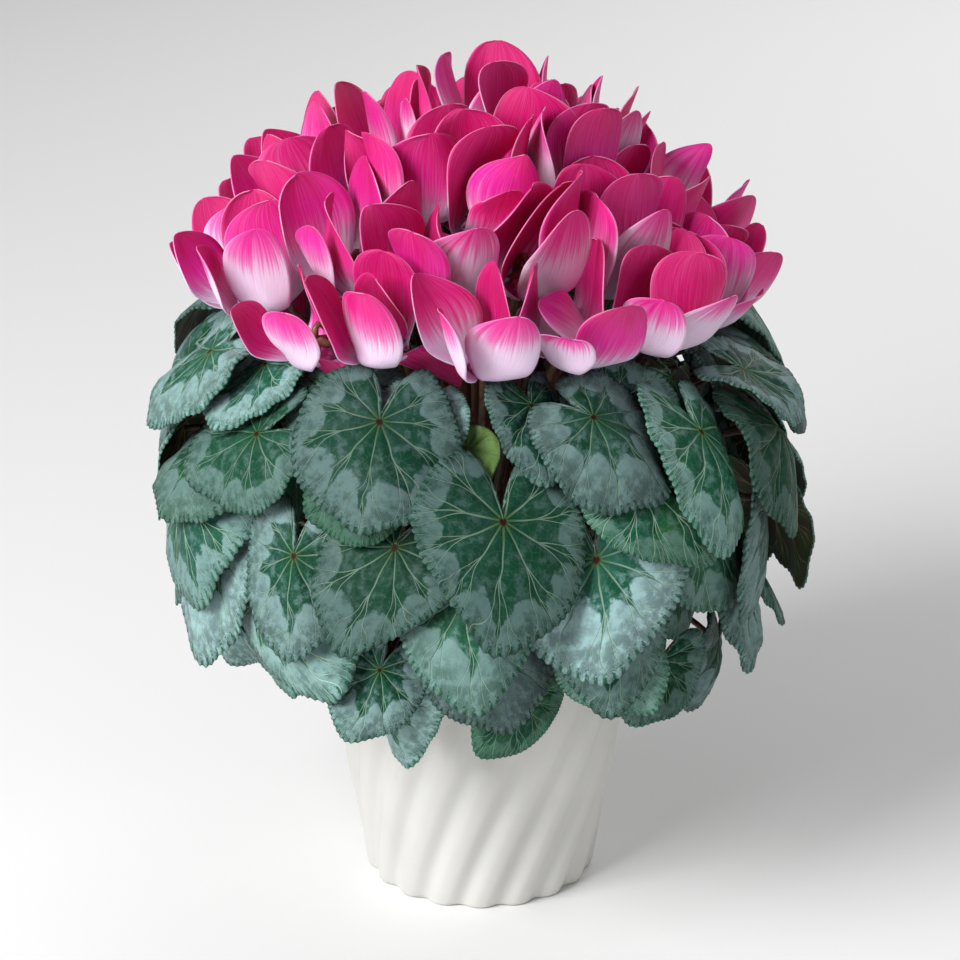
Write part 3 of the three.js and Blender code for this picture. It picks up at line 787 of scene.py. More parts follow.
class Field:
    """A number or a colour that varies over a surface. Its sums and products are nodes too."""

    def __init__(self, graph, socket):
        self.graph = graph
        self.socket = socket

    def math(self, operation, *values):
        return self.graph.math(operation, self, *values)

    def __add__(self, other):
        return self.math("ADD", other)

    def __sub__(self, other):
        return self.math("SUBTRACT", other)

    def __rsub__(self, other):
        return self.graph.math("SUBTRACT", other, self)

    def __mul__(self, other):
        return self.math("MULTIPLY", other)

    def __truediv__(self, other):
        return self.math("DIVIDE", other)

    def steps(self, low, high):
        """0 below low, 1 above high, and smooth between"""
        return self.ranged(low, high, 0, 1, interpolation_type="SMOOTHSTEP")

    def ranged(self, low, high, first, second, **settings):
        """From first at low to second at high"""
        values = [(0, self), (1, low), (2, high), (3, first), (4, second)]
        return self.graph.field("ShaderNodeMapRange", values, **settings)

    def wobble(self, amount):
        """The middle range of a noise, stretched from -amount to amount"""
        return self.ranged(0.3, 0.7, -amount, amount)


class Graph:
    """The nodes of one material, added as plain calls"""

    def __init__(self, name):
        self.material = bpy.data.materials.new(name)
        self.material.use_nodes = True
        self.tree = self.material.node_tree
        self.shader = self.tree.nodes["Principled BSDF"]

    def put(self, socket, value):
        if isinstance(value, Field):
            self.tree.links.new(value.socket, socket)
        elif socket.type == "RGBA":
            socket.default_value = (*value, 1)
        else:
            socket.default_value = value

    def node(self, kind, values=(), **settings):
        node = self.tree.nodes.new(kind)
        for name, value in settings.items():
            setattr(node, name, value)
        for place, value in values:
            self.put(node.inputs[place], value)
        return node

    def field(self, kind, values=(), output=0, **settings):
        return Field(self, self.node(kind, values, **settings).outputs[output])

    def surface(self, **values):
        for name, value in values.items():
            self.put(self.shader.inputs[name.replace("_", " ")], value)

    def math(self, operation, *values):
        return self.field("ShaderNodeMath", enumerate(values), operation=operation)

    def blend(self, part, first, second):
        values = [(0, part), (6, first), (7, second)]
        return self.field("ShaderNodeMix", values, 2, data_type="RGBA")

    def noise(self, where, scale, detail=1.0, dimensions="2D"):
        values = [("Vector", where), ("Scale", scale), ("Detail", detail)]
        return self.field("ShaderNodeTexNoise", values, noise_dimensions=dimensions)

    def cells(self, where, scale, dimensions="2D"):
        """Distance to the edge between the cells of a net"""
        return self.field("ShaderNodeTexVoronoi", [("Vector", where), ("Scale", scale)],
                          voronoi_dimensions=dimensions, feature="DISTANCE_TO_EDGE")

    def value(self, name):
        """A number that is stored in the piece's points"""
        return self.field("ShaderNodeAttribute", output="Fac", attribute_name=name)

    def object_place(self):
        return self.field("ShaderNodeTexCoord", output="Object")

    def layout(self, name):
        """The piece's own UV map, whole and as its two numbers"""
        where = self.field("ShaderNodeUVMap", uv_map=name)
        parts = self.node("ShaderNodeSeparateXYZ", [(0, where)]).outputs
        return where, Field(self, parts[0]), Field(self, parts[1])

    def point(self, x, y):
        return self.field("ShaderNodeCombineXYZ", [(0, x), (1, y)])

    def bump(self, height, distance, strength):
        values = [("Height", height), ("Distance", distance), ("Strength", strength)]
        return self.field("ShaderNodeBump", values)


def dimmed(colour, part):
    return tuple(part * channel for channel in colour)


def pot_plastic(settings):
    graph = Graph("satin_plastic")
    place = graph.object_place()
    cloud = graph.noise(place, 22, 2, "3D")
    grain = graph.noise(place, 900, 0, "3D")
    shade = dimmed(settings.colour, 0.94)
    graph.surface(Base_Color=graph.blend(cloud.steps(0.35, 0.7), settings.colour, shade),
                  Roughness=cloud.ranged(0.3, 0.7, 0.34, 0.42),
                  Normal=graph.bump(grain, 0.00004, 0.35))
    return graph.material


def potting_soil(settings):
    graph = Graph("potting_soil")
    place = graph.object_place()
    patches = graph.noise(place, 260, 4, "3D").steps(0.48, 0.66)
    graph.surface(Base_Color=graph.blend(patches, settings.soil, settings.crumb), Roughness=0.94,
                  Normal=graph.bump(graph.noise(place, 700, 4, "3D"), 0.0006, 0.8))
    return graph.material


def corm_bark(settings):
    graph = Graph("corky_skin")
    place = graph.object_place()
    cracks = graph.cells(place, 210, "3D").steps(0.0, 0.12)
    mottle = graph.noise(place, 90, 3, "3D")
    dark = dimmed(settings.corm, 0.45)
    graph.surface(Base_Color=graph.blend(cracks * mottle, dark, settings.corm), Roughness=0.86,
                  Normal=graph.bump(cracks, 0.0004, 0.7))
    return graph.material


def stalk_skin(name, dark, light):
    """Brown-red stalks, paler in long streaks"""
    graph = Graph(name)
    drawn_out = graph.field("ShaderNodeMapping", [(0, graph.object_place()), (3, (1, 1, 0.12))])
    streaks = graph.noise(drawn_out, 420, 2, "3D").steps(0.42, 0.68)
    graph.surface(Base_Color=graph.blend(streaks, dark, light), Roughness=0.48)
    return graph.material


class VeinPlan:
    """Where the veins of a leaf run, from its flat layout: a fan from the stalk that forks twice"""

    def __init__(self, graph):
        self.seed = graph.value("seed")
        self.reach = graph.value("reach")
        flat, across, ahead = graph.layout("flat")
        shift = graph.point(self.seed, self.seed * 1.7)
        self.own = graph.field("ShaderNodeVectorMath", [(0, flat), (1, shift)])
        distance = (across * across + ahead * ahead).math("SQRT")
        angle = across.math("ARCTAN2", ahead)
        wander = graph.noise(self.own, 2.4) - 0.5
        self.turn = angle / FULL_TURN
        self.fan = (wander * 0.5 + angle / VEIN_SPACING).math("PINGPONG", 0.5)
        self.width_of_fan = distance * VEIN_SPACING

    def line(self, apart, thick, thin, opens):
        """A vein whose place is a number of the fan, which gets thinner towards the edge"""
        distance = (self.fan - apart).math("ABSOLUTE") * self.width_of_fan
        width = self.reach.ranged(opens, 1, thick, thin)
        line = 1 - (distance / width).steps(0.4, 1.1)
        return line * self.reach.math("GREATER_THAN", opens) if opens else line

    def veins(self):
        reach = self.reach
        first_fork = reach.ranged(0.40, 0.95, 0, 0.40)
        second_fork = first_fork + reach.ranged(0.68, 1, 0, -0.20)
        middle_fork = reach.ranged(0.70, 1, 0, 0.17)
        veins = self.line(0, 0.013, 0.004, 0)
        for fork in ((first_fork, 0.007, 0.003, 0.40), (second_fork, 0.004, 0.0025, 0.68),
                     (middle_fork, 0.004, 0.0025, 0.70)):
            veins = veins.math("MAXIMUM", self.line(*fork))
        return veins


def leaf_face(settings):
    """Dark star round the stalk, scalloped silver band, green toothed edge and pale veins"""
    graph = Graph("leaf_face")
    plan = VeinPlan(graph)
    own, reach, veins = plan.own, plan.reach, plan.veins()
    fresh, silver = graph.value("fresh"), graph.value("silver")
    broad, patch, grain = (graph.noise(own, scale, 2) for scale in (2.6, 11, 48))
    soft = (plan.seed * 3.1).math("PINGPONG", 1)
    star = graph.blend(soft, settings.dark, settings.teal)
    deep = graph.blend(fresh, star, settings.fresh)
    mossy = graph.blend(broad.steps(0.4, 0.66), deep, settings.green)
    # The star's points follow the veins, and the band bulges in between them
    round_off = 1 - plan.fan * 2
    bulge = (1.0001 - round_off * round_off).math("SQRT")
    border = bulge * -0.25 + silver.ranged(0, 1, 1.02, 0.64)
    border = border + broad.wobble(0.08) + patch.wobble(0.03) + grain.wobble(0.01)
    inside = reach - border
    mottle = grain * 0.25 + patch * 0.75
    # The band is palest along its inner edge and grows dimmer outwards
    thin = (mottle + inside.ranged(0, 0.35, -0.10, 0.10)).steps(0.36, 0.70)
    pale = graph.blend(thin, settings.silver, dimmed(settings.silver, 0.42))
    greened = graph.blend(fresh * 0.6, pale, settings.fresh)
    band = inside.steps(-0.02, 0.035) * silver.ranged(0, 1, 0.3, 0.95)
    body = graph.blend(band, mossy, greened)
    # Frosty grains half way out
    half_way = reach.steps(0.15, 0.35) * (1 - reach.steps(0.5, 0.85))
    frost = mottle.steps(0.44, 0.70) * half_way * silver.ranged(0, 1, 0.10, 0.42)
    body = graph.blend(frost, body, settings.silver)
    # Dark stitches between the teeth
    tooth = (plan.turn * settings.teeth).math("PINGPONG", 0.5)
    stitch = tooth.steps(0.16, 0.4) * (reach + grain.wobble(0.05)).steps(0.90, 0.96)
    body = graph.blend(stitch * 0.9, body, settings.green)
    # A fine net, and the veins over it, which are green near the stalk
    net = 1 - graph.cells(own, 13).steps(0.01, 0.045)
    body = graph.blend(net * 0.10, body, settings.vein)
    vein_colour = graph.blend(1 - reach.steps(0.05, 0.32), settings.vein, (0.12, 0.24, 0.07))
    body = graph.blend(veins * soft.ranged(0, 1, 0.78, 0.5), body, vein_colour)
    # Leaves that have just opened are plainer, and every leaf has a red-brown spot at its stalk
    body = graph.blend(fresh.steps(1.2, 1.8) * 0.75, body, settings.newest)
    body = graph.blend(1 - reach.steps(0.025, 0.06), body, (0.05, 0.008, 0.010))
    body = graph.field("ShaderNodeVectorMath", [(0, body), (3, graph.value("tone"))],
                       operation="SCALE")
    hills = patch * 0.35 + bulge * reach.steps(0.1, 0.6) * 0.9 - veins * 0.4
    graph.surface(Base_Color=body, Roughness=grain.ranged(0.3, 0.7, 0.40, 0.56),
                  Specular_IOR_Level=0.08, Normal=graph.bump(hills, 0.0010, 0.8))
    return graph.material


def leaf_underside(settings):
    graph = Graph("leaf_underside")
    plan = VeinPlan(graph)
    cloud = graph.noise(plan.own, 3, 2).steps(0.35, 0.7)
    colour = graph.blend(cloud, settings.under, (0.060, 0.036, 0.028))
    colour = graph.blend(plan.veins() * 0.55, colour, (0.30, 0.34, 0.16))
    graph.surface(Base_Color=colour, Roughness=0.6, Specular_IOR_Level=0.2)
    return graph.material


def petal_face(name, settings, white, edge):
    """White foot that breaks into rays, hot pink above it, a deep tip and a pale edge"""
    graph = Graph(name)
    _, across, along = graph.layout("petal")
    seed = graph.value("seed")
    own = seed * 9 + across * 26
    rays = graph.noise(graph.point(own, along * 1.6), 1, 2)
    fine = graph.noise(graph.point(own * 3.5, along * 2.5), 1)
    cloud = graph.noise(graph.point(across + seed, along), 2.2)
    middle = (across * 2 - 1).math("ABSOLUTE")
    border = (rays - 0.5) * 0.34 + white + graph.value("white") + middle.math("POWER", 3) * 0.1
    above = along - border
    pale_pink, line_pink = (tuple(mix(pink, base, part)
                                  for pink, base in zip(settings.pink, settings.base))
                            for part in (0.36, 0.5))
    full = graph.blend((seed * 2.3).math("PINGPONG", 1), settings.pink, settings.rosy)
    pink = graph.blend(above.steps(0.0, 0.3), pale_pink, full)
    pink = graph.blend((above + cloud * 0.25).steps(0.3, 0.72), pink, settings.tip)
    foot = graph.blend(1 - along.steps(0.03, 0.3), settings.base, (0.56, 0.34, 0.58))
    body = graph.blend(above.steps(-0.05, 0.14), foot, pink)
    body = graph.blend(fine.steps(0.5, 0.68) * 0.16, body, line_pink)
    body = graph.blend(middle.steps(0.965, 1) * edge, body, settings.base)
    body = graph.blend(1 - along.steps(0.0, 0.055), body, settings.eye)
    graph.surface(Base_Color=body, Roughness=0.52, Specular_IOR_Level=0.4,
                  Normal=graph.bump(fine, 0.00025, 0.6))
    return graph.material


def flower_eye(settings):
    """Mouth and cap of the bloom: deep magenta, mottled with paler purple"""
    graph = Graph("flower_eye")
    cloud = graph.noise(graph.object_place(), 500, 2, "3D").steps(0.4, 0.65)
    graph.surface(Base_Color=graph.blend(cloud, settings.eye, (0.50, 0.10, 0.28)), Roughness=0.5)
    return graph.material


# Pot, soil and corm

def pot_radius(pot, height):
    """Outer radius over the ribs"""
    return mix(pot.foot_radius, pot.top_radius, height / pot.height)


def bore_radius(pot, height):
    return pot_radius(pot, height) - pot.wall


def pot_relief(settings, azimuth, height):
    """How deep the grooves lie under the ribs, fading out under the lip"""
    phase = settings.flutes * (azimuth - settings.twist * height)
    groove = 0.5 - 0.5 * np.cos(phase)
    fluted = settings.height - settings.lip_height
    return -settings.flute_depth * groove ** 1.5 * smoothstep(fluted - height, 0, POT.flute_fade)


def build_pot(settings):
    top, lip, floor = settings.height, settings.lip_radius, settings.floor
    fluted = top - settings.lip_height
    foot, fillet, edge = pot_radius(settings, 0), POT.fillet, POT.edge
    bore, floor_radius = bore_radius(settings, top), bore_radius(settings, floor)
    underside = [(0, 0), (POT.flat, 0), (foot - fillet, 0), (foot - 0.3 * fillet, 0.3 * fillet)]
    levels = np.linspace(POT.lowest_row, fluted, ROWS.pot)
    outside = [(foot, fillet)] + [(pot_radius(settings, level), level) for level in levels]
    rim = [(lip - edge, fluted + 0.0001), (lip - 0.0003, fluted + 0.0006), (lip, fluted + edge),
           (lip, top - 2 * edge), (lip - 0.4 * edge, top - 0.6 * edge), (lip - 1.4 * edge, top)]
    inside = [(bore + edge, top), (bore, top - edge),
              (bore_radius(settings, POT.bore_at), POT.bore_at), (floor_radius, floor + edge),
              (floor_radius - edge, floor), (0, floor)]
    pot = ring_stack("pot_shell", settings.flutes * SIDES.flute, underside + outside + rim + inside)
    points = points_of(pot)
    radius, height = off_axis(points), points[:, 2]
    azimuth = np.arctan2(points[:, 0], -points[:, 1]) + settings.twist * np.minimum(height, fluted)
    outer = (radius > pot_radius(settings, height) - 0.002) & (height < fluted + 0.00005)
    radius = radius + np.where(outer, pot_relief(settings, azimuth, height), 0)
    move_points(pot, np.stack([radius * np.sin(azimuth), -radius * np.cos(azimuth), height], 1))
    for number in range(DRAINS.count):
        drill_drain(pot, FULL_TURN * number / DRAINS.count, 4 * floor)
    paint(pot, [pot_plastic(settings)])
    hand_over(pot, "pot", "pot")
    choose(pot)
    bpy.ops.object.shade_smooth_by_angle(angle=math.radians(40))


def drill_drain(pot, azimuth, depth):
    deselect()
    bpy.ops.mesh.primitive_cylinder_add(vertices=SIDES.drain, radius=DRAINS.radius, depth=depth,
                                        location=outward(azimuth) * DRAINS.circle)
    drill = bpy.context.object
    modify(pot, "BOOLEAN", object=drill, operation="DIFFERENCE", solver="EXACT")
    remove(drill)


def build_soil(pot, settings):
    """A crumbly surface, heaped round the corm, over a plain body that fills the pot"""
    seat = SOIL.seat
    bottom = pot.floor + seat
    top_radius = bore_radius(pot, SOIL.top) - seat
    bed = CORM.bottom - seat
    shares = [row / ROWS.heap for row in range(ROWS.heap + 1)]
    surface = [(mix(top_radius, SOIL.heap_radius, part), mix(SOIL.top, SOIL.heap_top, part))
               for part in shares]
    socket = CORM.radius + seat
    rows = [(0, bottom), (bore_radius(pot, bottom) - seat, bottom), *surface,
            (CORM.radius + 0.003, SOIL.heap_top - 0.001), (socket, SOIL.top),
            (socket, CORM.widest_from), (CORM.foot_radius + seat, bed), (0, bed)]
    soil = ring_stack("soil_body", SIDES.soil, rows)
    points = points_of(soil)
    radius = off_axis(points)
    # Only the open surface is lumpy, clear of the corm and of the pot
    loose = (points[:, 2] > SOIL.top - 0.0005) & (radius > CORM.radius + 0.002)
    loose &= radius < top_radius - 0.001
    lumps = np.array([sway(float(number), SOIL.lump) for number in range(len(points))])
    points[:, 2] += np.where(loose, lumps - 0.0006, 0)
    move_points(soil, points)
    deselect()
    bpy.ops.mesh.primitive_ico_sphere_add(subdivisions=1, radius=1)
    blank = bpy.context.object
    crumbs = [soil_crumb(blank, CRUMB.seed + number, top_radius) for number in range(CRUMB.count)]
    soil = joined([soil, *crumbs], "soil_bed")
    remove(blank)
    paint(soil, [potting_soil(settings)])
    hand_over(soil, "soil", "soil")


def soil_crumb(blank, seed, top_radius):
    """A small crumb, pressed into the soil somewhere between the corm and the pot"""
    crumb = copy_of(blank)
    nearest, furthest = CORM.radius + CRUMB.off_corm, top_radius - CRUMB.off_pot
    reach = math.sqrt(mix(nearest ** 2, furthest ** 2, draw(seed + 0.3)))
    size = CRUMB.least + CRUMB.more * draw(seed + 0.5) ** 2
    part = (reach - SOIL.heap_radius) / (top_radius - SOIL.heap_radius)
    level = mix(SOIL.heap_top, SOIL.top, min(max(part, 0), 1))
    centre = outward(FULL_TURN * draw(seed)) * reach + UP * (level - CRUMB.sunk * size)
    stretch = np.array([1, 0.7 + 0.5 * draw(seed + 0.6), 0.6 + 0.4 * draw(seed + 0.7)])
    move_points(crumb, points_of(crumb) * stretch * size + np.array(centre))
    return crumb


def build_corm(settings):
    rows = [(0, CORM.bottom), (CORM.foot_radius, CORM.bottom)]
    angles = [math.pi / 12 * step for step in range(7)]
    rows += [(mix(CORM.foot_radius, CORM.radius, math.sin(angle)),
              mix(CORM.widest_from, CORM.bottom, math.cos(angle))) for angle in angles[1:]]
    rows += [(mix(CORM.crown_radius - 0.002, CORM.radius, math.cos(angle)),
              mix(CORM.widest_to, CORM.crown, math.sin(angle))) for angle in angles]
    rows += [(radius, CORM.crown) for radius in (0.024, 0.018, 0.011, 0.005, 0)]
    corm = ring_stack("corm_ball", SIDES.corm, rows)
    points = points_of(corm)
    azimuth = np.arctan2(points[:, 0], -points[:, 1])
    folds = CORM.fold * (np.sin(CORM.folds * azimuth + CORM.slant * points[:, 2]) - 1)
    points[:, :2] *= (1 + folds / CORM.radius)[:, None]
    move_points(corm, points)
    paint(corm, [corm_bark(settings)])
    hand_over(corm, "corm", "corm")


# Leaves

def heart_outline(angle):
    """Length of the blade at an angle from its tip, as a share of the leaf's length"""
    from_notch = (math.pi - np.abs(angle)) / math.radians(HEART.notch_width)
    from_tip = angle / math.radians(HEART.tip_width)
    ahead = np.cos(angle)
    body = HEART.round + HEART.longer * ahead + HEART.slimmer * ahead ** 2
    return body + HEART.tip * np.exp(-from_tip ** 2) - HEART.notch * np.exp(-from_notch ** 2)


def blade_blank(teeth):
    """A flat disc of rings, with two points for each tooth, the tip at +Y and its flat layout"""
    blank = ring_stack("blade_blank", 2 * teeth, [(part, 0) for part in BLADE_RINGS])
    if blank.data.polygons[0].normal.z > 0:
        blank.data.flip_normals()
    points = points_of(blank)
    angle = np.arctan2(points[:, 0], points[:, 1])
    outline = heart_outline(angle)
    lay_out(blank, blank.data.uv_layers.new(name="flat"), points[:, :2] * outline[:, None])
    set_value(blank, "reach", off_axis(points))
    return blank


def blade_points(place, angle, part, teeth):
    """The hanging blade: bent, folded and waved, with teeth, ruffles, pillows and a curled side"""
    number = np.round(angle / FULL_TURN * 2 * teeth)
    tooth = np.where(number % 2 == 0, 0.0, -RELIEF.tooth) * smoothstep(part, 0.9, 1)
    phase = place.phase
    uneven = np.sin(2 * angle + phase) + np.sin(3 * angle + 4.1 * phase)
    reach = place.length * heart_outline(angle) * part * (1 + tooth + SUPPLE.uneven * uneven)
    across = reach * np.sin(angle) * place.slim
    ahead = reach * np.cos(angle)
    ripple = place.wave * part ** 3 * np.sin(BLADE.waves * angle + phase)
    ripple += RELIEF.sway * part ** 2 * np.sin(3 * angle + 2.3 * phase)
    sag = -place.bend * ahead ** 2 - place.fold * across ** 2 - place.crease * np.abs(across)
    ruffle = RELIEF.ruffle * part ** 5 * np.sin(RELIEF.ruffles * angle + 2 * phase)
    between_veins = np.sin(math.pi * angle / VEIN_SPACING) ** 2
    pillows = RELIEF.pillow * between_veins * np.sin(math.pi * part)
    curled = (0.5 + 0.5 * np.cos(angle - place.curl_towards)) ** 3
    curl = place.curl * smoothstep(part, 0.35, 1.1) * curled
    curl = curl - RELIEF.hem * smoothstep(part, 0.86, 1)
    lift = sag + ripple + ruffle + pillows + curl
    pitch, roll, swing, rise = place.pose
    swung = Quaternion(place.face, swing)
    side = swung @ place.side
    face = Quaternion(side, pitch) @ place.face
    down = Quaternion(side, pitch) @ (swung @ place.down)
    side, face = Quaternion(down, roll) @ side, Quaternion(down, roll) @ face
    end = place.stalk_end + place.face * rise
    points = np.array(end) + spread(across, side) + spread(ahead, down) + spread(lift, face)
    distance = off_axis(points)
    past = np.maximum(0, distance - BLADE_REACH.free) * (1 - BLADE_REACH.share)
    points[:, :2] *= (1 - past / distance)[:, None]
    return points


def leaf_blade(blank, place, teeth):
    blade = copy_of(blank)
    points = points_of(blade)
    angle = np.arctan2(points[:, 0], points[:, 1])
    move_points(blade, blade_points(place, angle, off_axis(points), teeth))
    seed = place.seed
    looks = draw(seed + 0.15) ** 3, mix(*SILVER, draw(seed + 0.35))
    fresh, silver = LEAF_LOOKS.get((place.sector, place.tier), looks)
    if place.tier == GAP_TIER:
        fresh, silver = place.fresh, GAP_SILVER
    set_value(blade, "seed", 10 * draw(seed + 0.25))
    set_value(blade, "fresh", fresh)
    set_value(blade, "tone", mix(*TONE, draw(seed + 0.45)))
    set_value(blade, "silver", silver)
    return blade


def petiole_curve(place):
    azimuth = math.radians(sector_azimuth(place.sector))
    aside = PETIOLE.aside if place.tier % 2 else -PETIOLE.aside
    root = (UP * (STAND_ON + SHOOT.height / 2) + sideways(azimuth) * aside
            + outward(azimuth) * (PETIOLE.outermost - PETIOLE.inward * place.tier))
    end = (place.stalk_end + place.face * (place.pose[3] - PETIOLE.behind)
           + place.down * PETIOLE.under + place.side * PETIOLE.beside)
    arch = max(PETIOLE.arch_height + PETIOLE.arch_step * place.tier,
               place.height + PETIOLE.arch_above)
    turned = outward(mix(azimuth, place.azimuth, PETIOLE.arch_turn))
    over = turned * (place.radius * PETIOLE.arch_reach) + UP * arch
    return root, over, end


def leaf_stalk(blank, place, radius):
    corners = petiole_curve(place)
    return bent_rod(blank, lambda along: curve_points(corners, along),
                    lambda along: radius * (1.15 - 0.35 * along), sideways(place.azimuth))


def shoot_stub(sector):
    """The short brown stub on the corm that a bunch of leaves grows from"""
    radius, height = SHOOT.radius, SHOOT.height
    rows = [(0, 0), (radius, 0), (radius, 0.3 * height), (0.9 * radius, 0.7 * height),
            (0.72 * radius, 0.94 * height), (0.4 * radius, height), (0, height)]
    stub = ring_stack("shoot_stub", SIDES.stub, rows)
    centre = outward(math.radians(sector_azimuth(sector))) * SHOOT.circle + UP * STAND_ON
    move_points(stub, points_of(stub) + np.array(centre))
    return stub


def ease_blades(places, teeth):
    angle, part = np.meshgrid(np.radians(np.arange(0, 360, 20)), (0.12, 0.5, 0.8, 1.0))
    grid = (*angle.shape, True)
    angle, part = angle.ravel(), part.ravel()
    ease_apart(places, lambda place: blade_points(place, angle, part, teeth), grid,
               BLADE_GIVE, BLADE_CLEARANCE, BLADE_NEAR)


def build_leaves(settings):
    places = leaf_places(settings.length)
    ease_blades(places, settings.teeth)
    blade = blade_blank(settings.teeth)
    rod = rod_blank("leaf_stalk_blank", *LEAF_ROD)
    skin = stalk_skin("leaf_stalk_skin", (0.055, 0.017, 0.013), (0.085, 0.055, 0.024))
    materials = (leaf_face(settings), leaf_underside(settings), skin)
    for sector in range(SECTORS):
        own = [place for place in places if place.sector == sector]
        bunch = joined([leaf_blade(blade, place, settings.teeth) for place in own], "blades")
        paint(bunch, materials)
        modify(bunch, "SOLIDIFY", thickness=settings.thickness, offset=-1, material_offset=1,
               material_offset_rim=0)
        stalks = [leaf_stalk(rod, place, settings.stalk_radius) for place in own]
        stalks.append(shoot_stub(sector))
        for stalk in stalks:
            paint(stalk, materials, 2)
        bunch = joined([bunch, *stalks], f"leaves_{sector + 1:02d}")
        hand_over(bunch, "leaf", f"leaf_bunch_{sector + 1:02d}")
    remove(blade, rod)


# Blooms

def petal_blank():
    """A flat sheet from -1 to 1 across and 0 to 1 along, with closer rows and one point at its tip"""
    deselect()
    columns, rows = PETAL_GRID
    bpy.ops.mesh.primitive_grid_add(x_subdivisions=columns, y_subdivisions=rows, size=2)
    blank = bpy.context.object
    blank.name = "petal_blank"
    points = points_of(blank)
    points[:, 1] = np.sin(math.pi / 4 * (points[:, 1] + 1))
    move_points(blank, points)
    layer = blank.data.uv_layers[0]
    layer.name = "petal"
    lay_out(blank, layer, np.stack([0.5 + points[:, 0] / 2, points[:, 1]], 1))
    edit_whole(blank)
    bpy.ops.mesh.select_all(action="DESELECT")
    mode("OBJECT")
    for vertex in blank.data.vertices:
        vertex.select = vertex.co.y > 0.9999
    mode("EDIT")
    bpy.ops.mesh.merge(type="CENTER")
    mode("OBJECT")
    return blank


def petal_half_width(part, breadth):
    """Narrow at its root, widest at three quarters of its length and round at its tip"""
    return PETAL.root * (1 - part) + breadth * part * np.sqrt(np.maximum(0, 1 - part ** 3))


def petal_shape(bloom, number, petal_length):
    """The petal's own size and set. Outer blooms open wider on their outer side."""
    seed = bloom.seed * 7 + number
    angle = FULL_TURN / PETAL.count * (number + 0.5)
    outer_side = max(0, 0.25 - math.cos(angle)) * OPEN_SIDE[bloom.ring]
    lean = PETAL.lean + sway(seed + 0.1, PETAL_SWAY.lean) + OPEN_LEAN * outer_side * draw(seed + 0.55)
    cup = PETAL.cup + sway(seed + 0.3, PETAL_SWAY.cup)
    if bloom.ring == 0 and (bloom.number, number) in HANGING:
        lean, cup, size = HANGING[bloom.number, number]
        petal_length *= size
    return Values(
        bloom=bloom, seed=seed, angle=angle, width=bloom.size, cup=cup,
        length=petal_length * bloom.size * (1 + sway(seed + 0.2, PETAL_SWAY.length)),
        drift=sway(seed + 0.25, PETAL_SWAY.drift), phase=FULL_TURN * draw(seed + 0.75),
        curl=PETAL.curl + sway(seed + 0.85, PETAL_SWAY.curl),
        pose=np.radians([lean, 0, sway(seed + 0.65, PETAL_SWAY.twist)]))


def petal_line(shape):
    """Corners of the curve along the petal's middle, as distances out and up from the mouth"""
    lean, length = shape.pose[0], shape.length
    return ((THROAT.radius, (THROAT.top + THROAT.lip) / 2),
            (THROAT.radius + 0.2 * length, -0.1 * length),
            (PETAL.spread + 0.45 * length * math.sin(lean), 0.45 * length),
            (PETAL.spread + length * math.sin(lean), 0.93 * length * math.cos(lean)))


def petal_points(shape, part, across, breadth):
    """The upswept petal, turned like a pinwheel's vane, with a soft ruffle and a curled tip"""
    bloom = shape.bloom
    _, swing, twist = shape.pose
    centre, _ = curve_points(petal_line(shape), part)
    turn = math.radians(PETAL.pinwheel) * smoothstep(part, 0, 0.4) + twist * part ** 2
    half = petal_half_width(part, breadth) * shape.width
    cup = (across * half) ** 2 * mix(PETAL.foot_cup, shape.cup, smoothstep(part, 0.05, 0.5))
    ruffle = PETAL.ruffle * across ** 2 * part * np.sin(8 * part + 2 * across + shape.phase)
    curl = shape.curl * smoothstep(part, 0.5, 1.1)
    outwards = centre[:, 0] + across * half * np.sin(turn) - cup + ruffle + curl
    sidewards = across * half * np.cos(turn) + shape.drift * part ** 2
    angle = shape.angle + np.arctan2(sidewards, outwards) + swing * smoothstep(part, 0, 0.6)
    direction = spread(np.cos(angle), bloom.inward) + spread(np.sin(angle), bloom.across)
    room = room_around(bloom, centre[:, 1], direction)
    distance = bent_in(np.hypot(outwards, sidewards), room)
    return np.array(bloom.mouth) + direction * distance[:, None] + spread(centre[:, 1], bloom.axis)


def ease_petals(shapes, breadth):
    across, part = np.meshgrid((-1, -0.5, 0, 0.5, 1), (0.18, 0.34, 0.5, 0.66, 0.82, 0.97))
    grid = (*part.shape, False)
    part, across = part.ravel(), across.ravel()
    ease_apart(shapes, lambda shape: petal_points(shape, part, across, breadth), grid,
               PETAL_GIVE, PETAL_CLEARANCE, PETAL_NEAR)


def petal(blank, shape, settings):
    piece = copy_of(blank)
    points = points_of(piece)
    move_points(piece, petal_points(shape, points[:, 1], points[:, 0], settings.breadth))
    set_value(piece, "seed", 10 * draw(shape.seed + 0.35))
    set_value(piece, "white", sway(shape.seed + 0.95, PETAL_SWAY.white))
    return piece


def bloom_cup(blank, bloom):
    """The short tube with the mouth, turned to hang on the bloom's axis"""
    piece = copy_of(blank)
    points = points_of(piece)
    placed = (np.array(bloom.mouth) + spread(points[:, 0], bloom.inward)
              + spread(points[:, 1], bloom.across) + spread(points[:, 2], bloom.axis))
    move_points(piece, placed)
    return piece


def cup_blank():
    """Mouth with a rolled rim and a shallow hollow, under a round cap"""
    radius, lip, top = THROAT.radius, THROAT.lip, THROAT.top
    cap, hollow = THROAT.outer_pole, THROAT.inner_pole
    rows = [(0, cap), (0.35 * radius, 0.92 * cap), (0.66 * radius, 0.62 * cap),
            (0.88 * radius, 0.1 * cap), (radius - 0.0004, top),
            (radius + 0.0003, mix(top, lip, 0.5)), (radius, lip), (radius - 0.001, lip - 0.0003),
            (radius - 0.002, lip + 0.0006), (0.6 * radius, 0.2 * hollow),
            (0.3 * radius, 0.8 * hollow), (0, hollow)]
    return ring_stack("cup_blank", SIDES.mouth, rows)


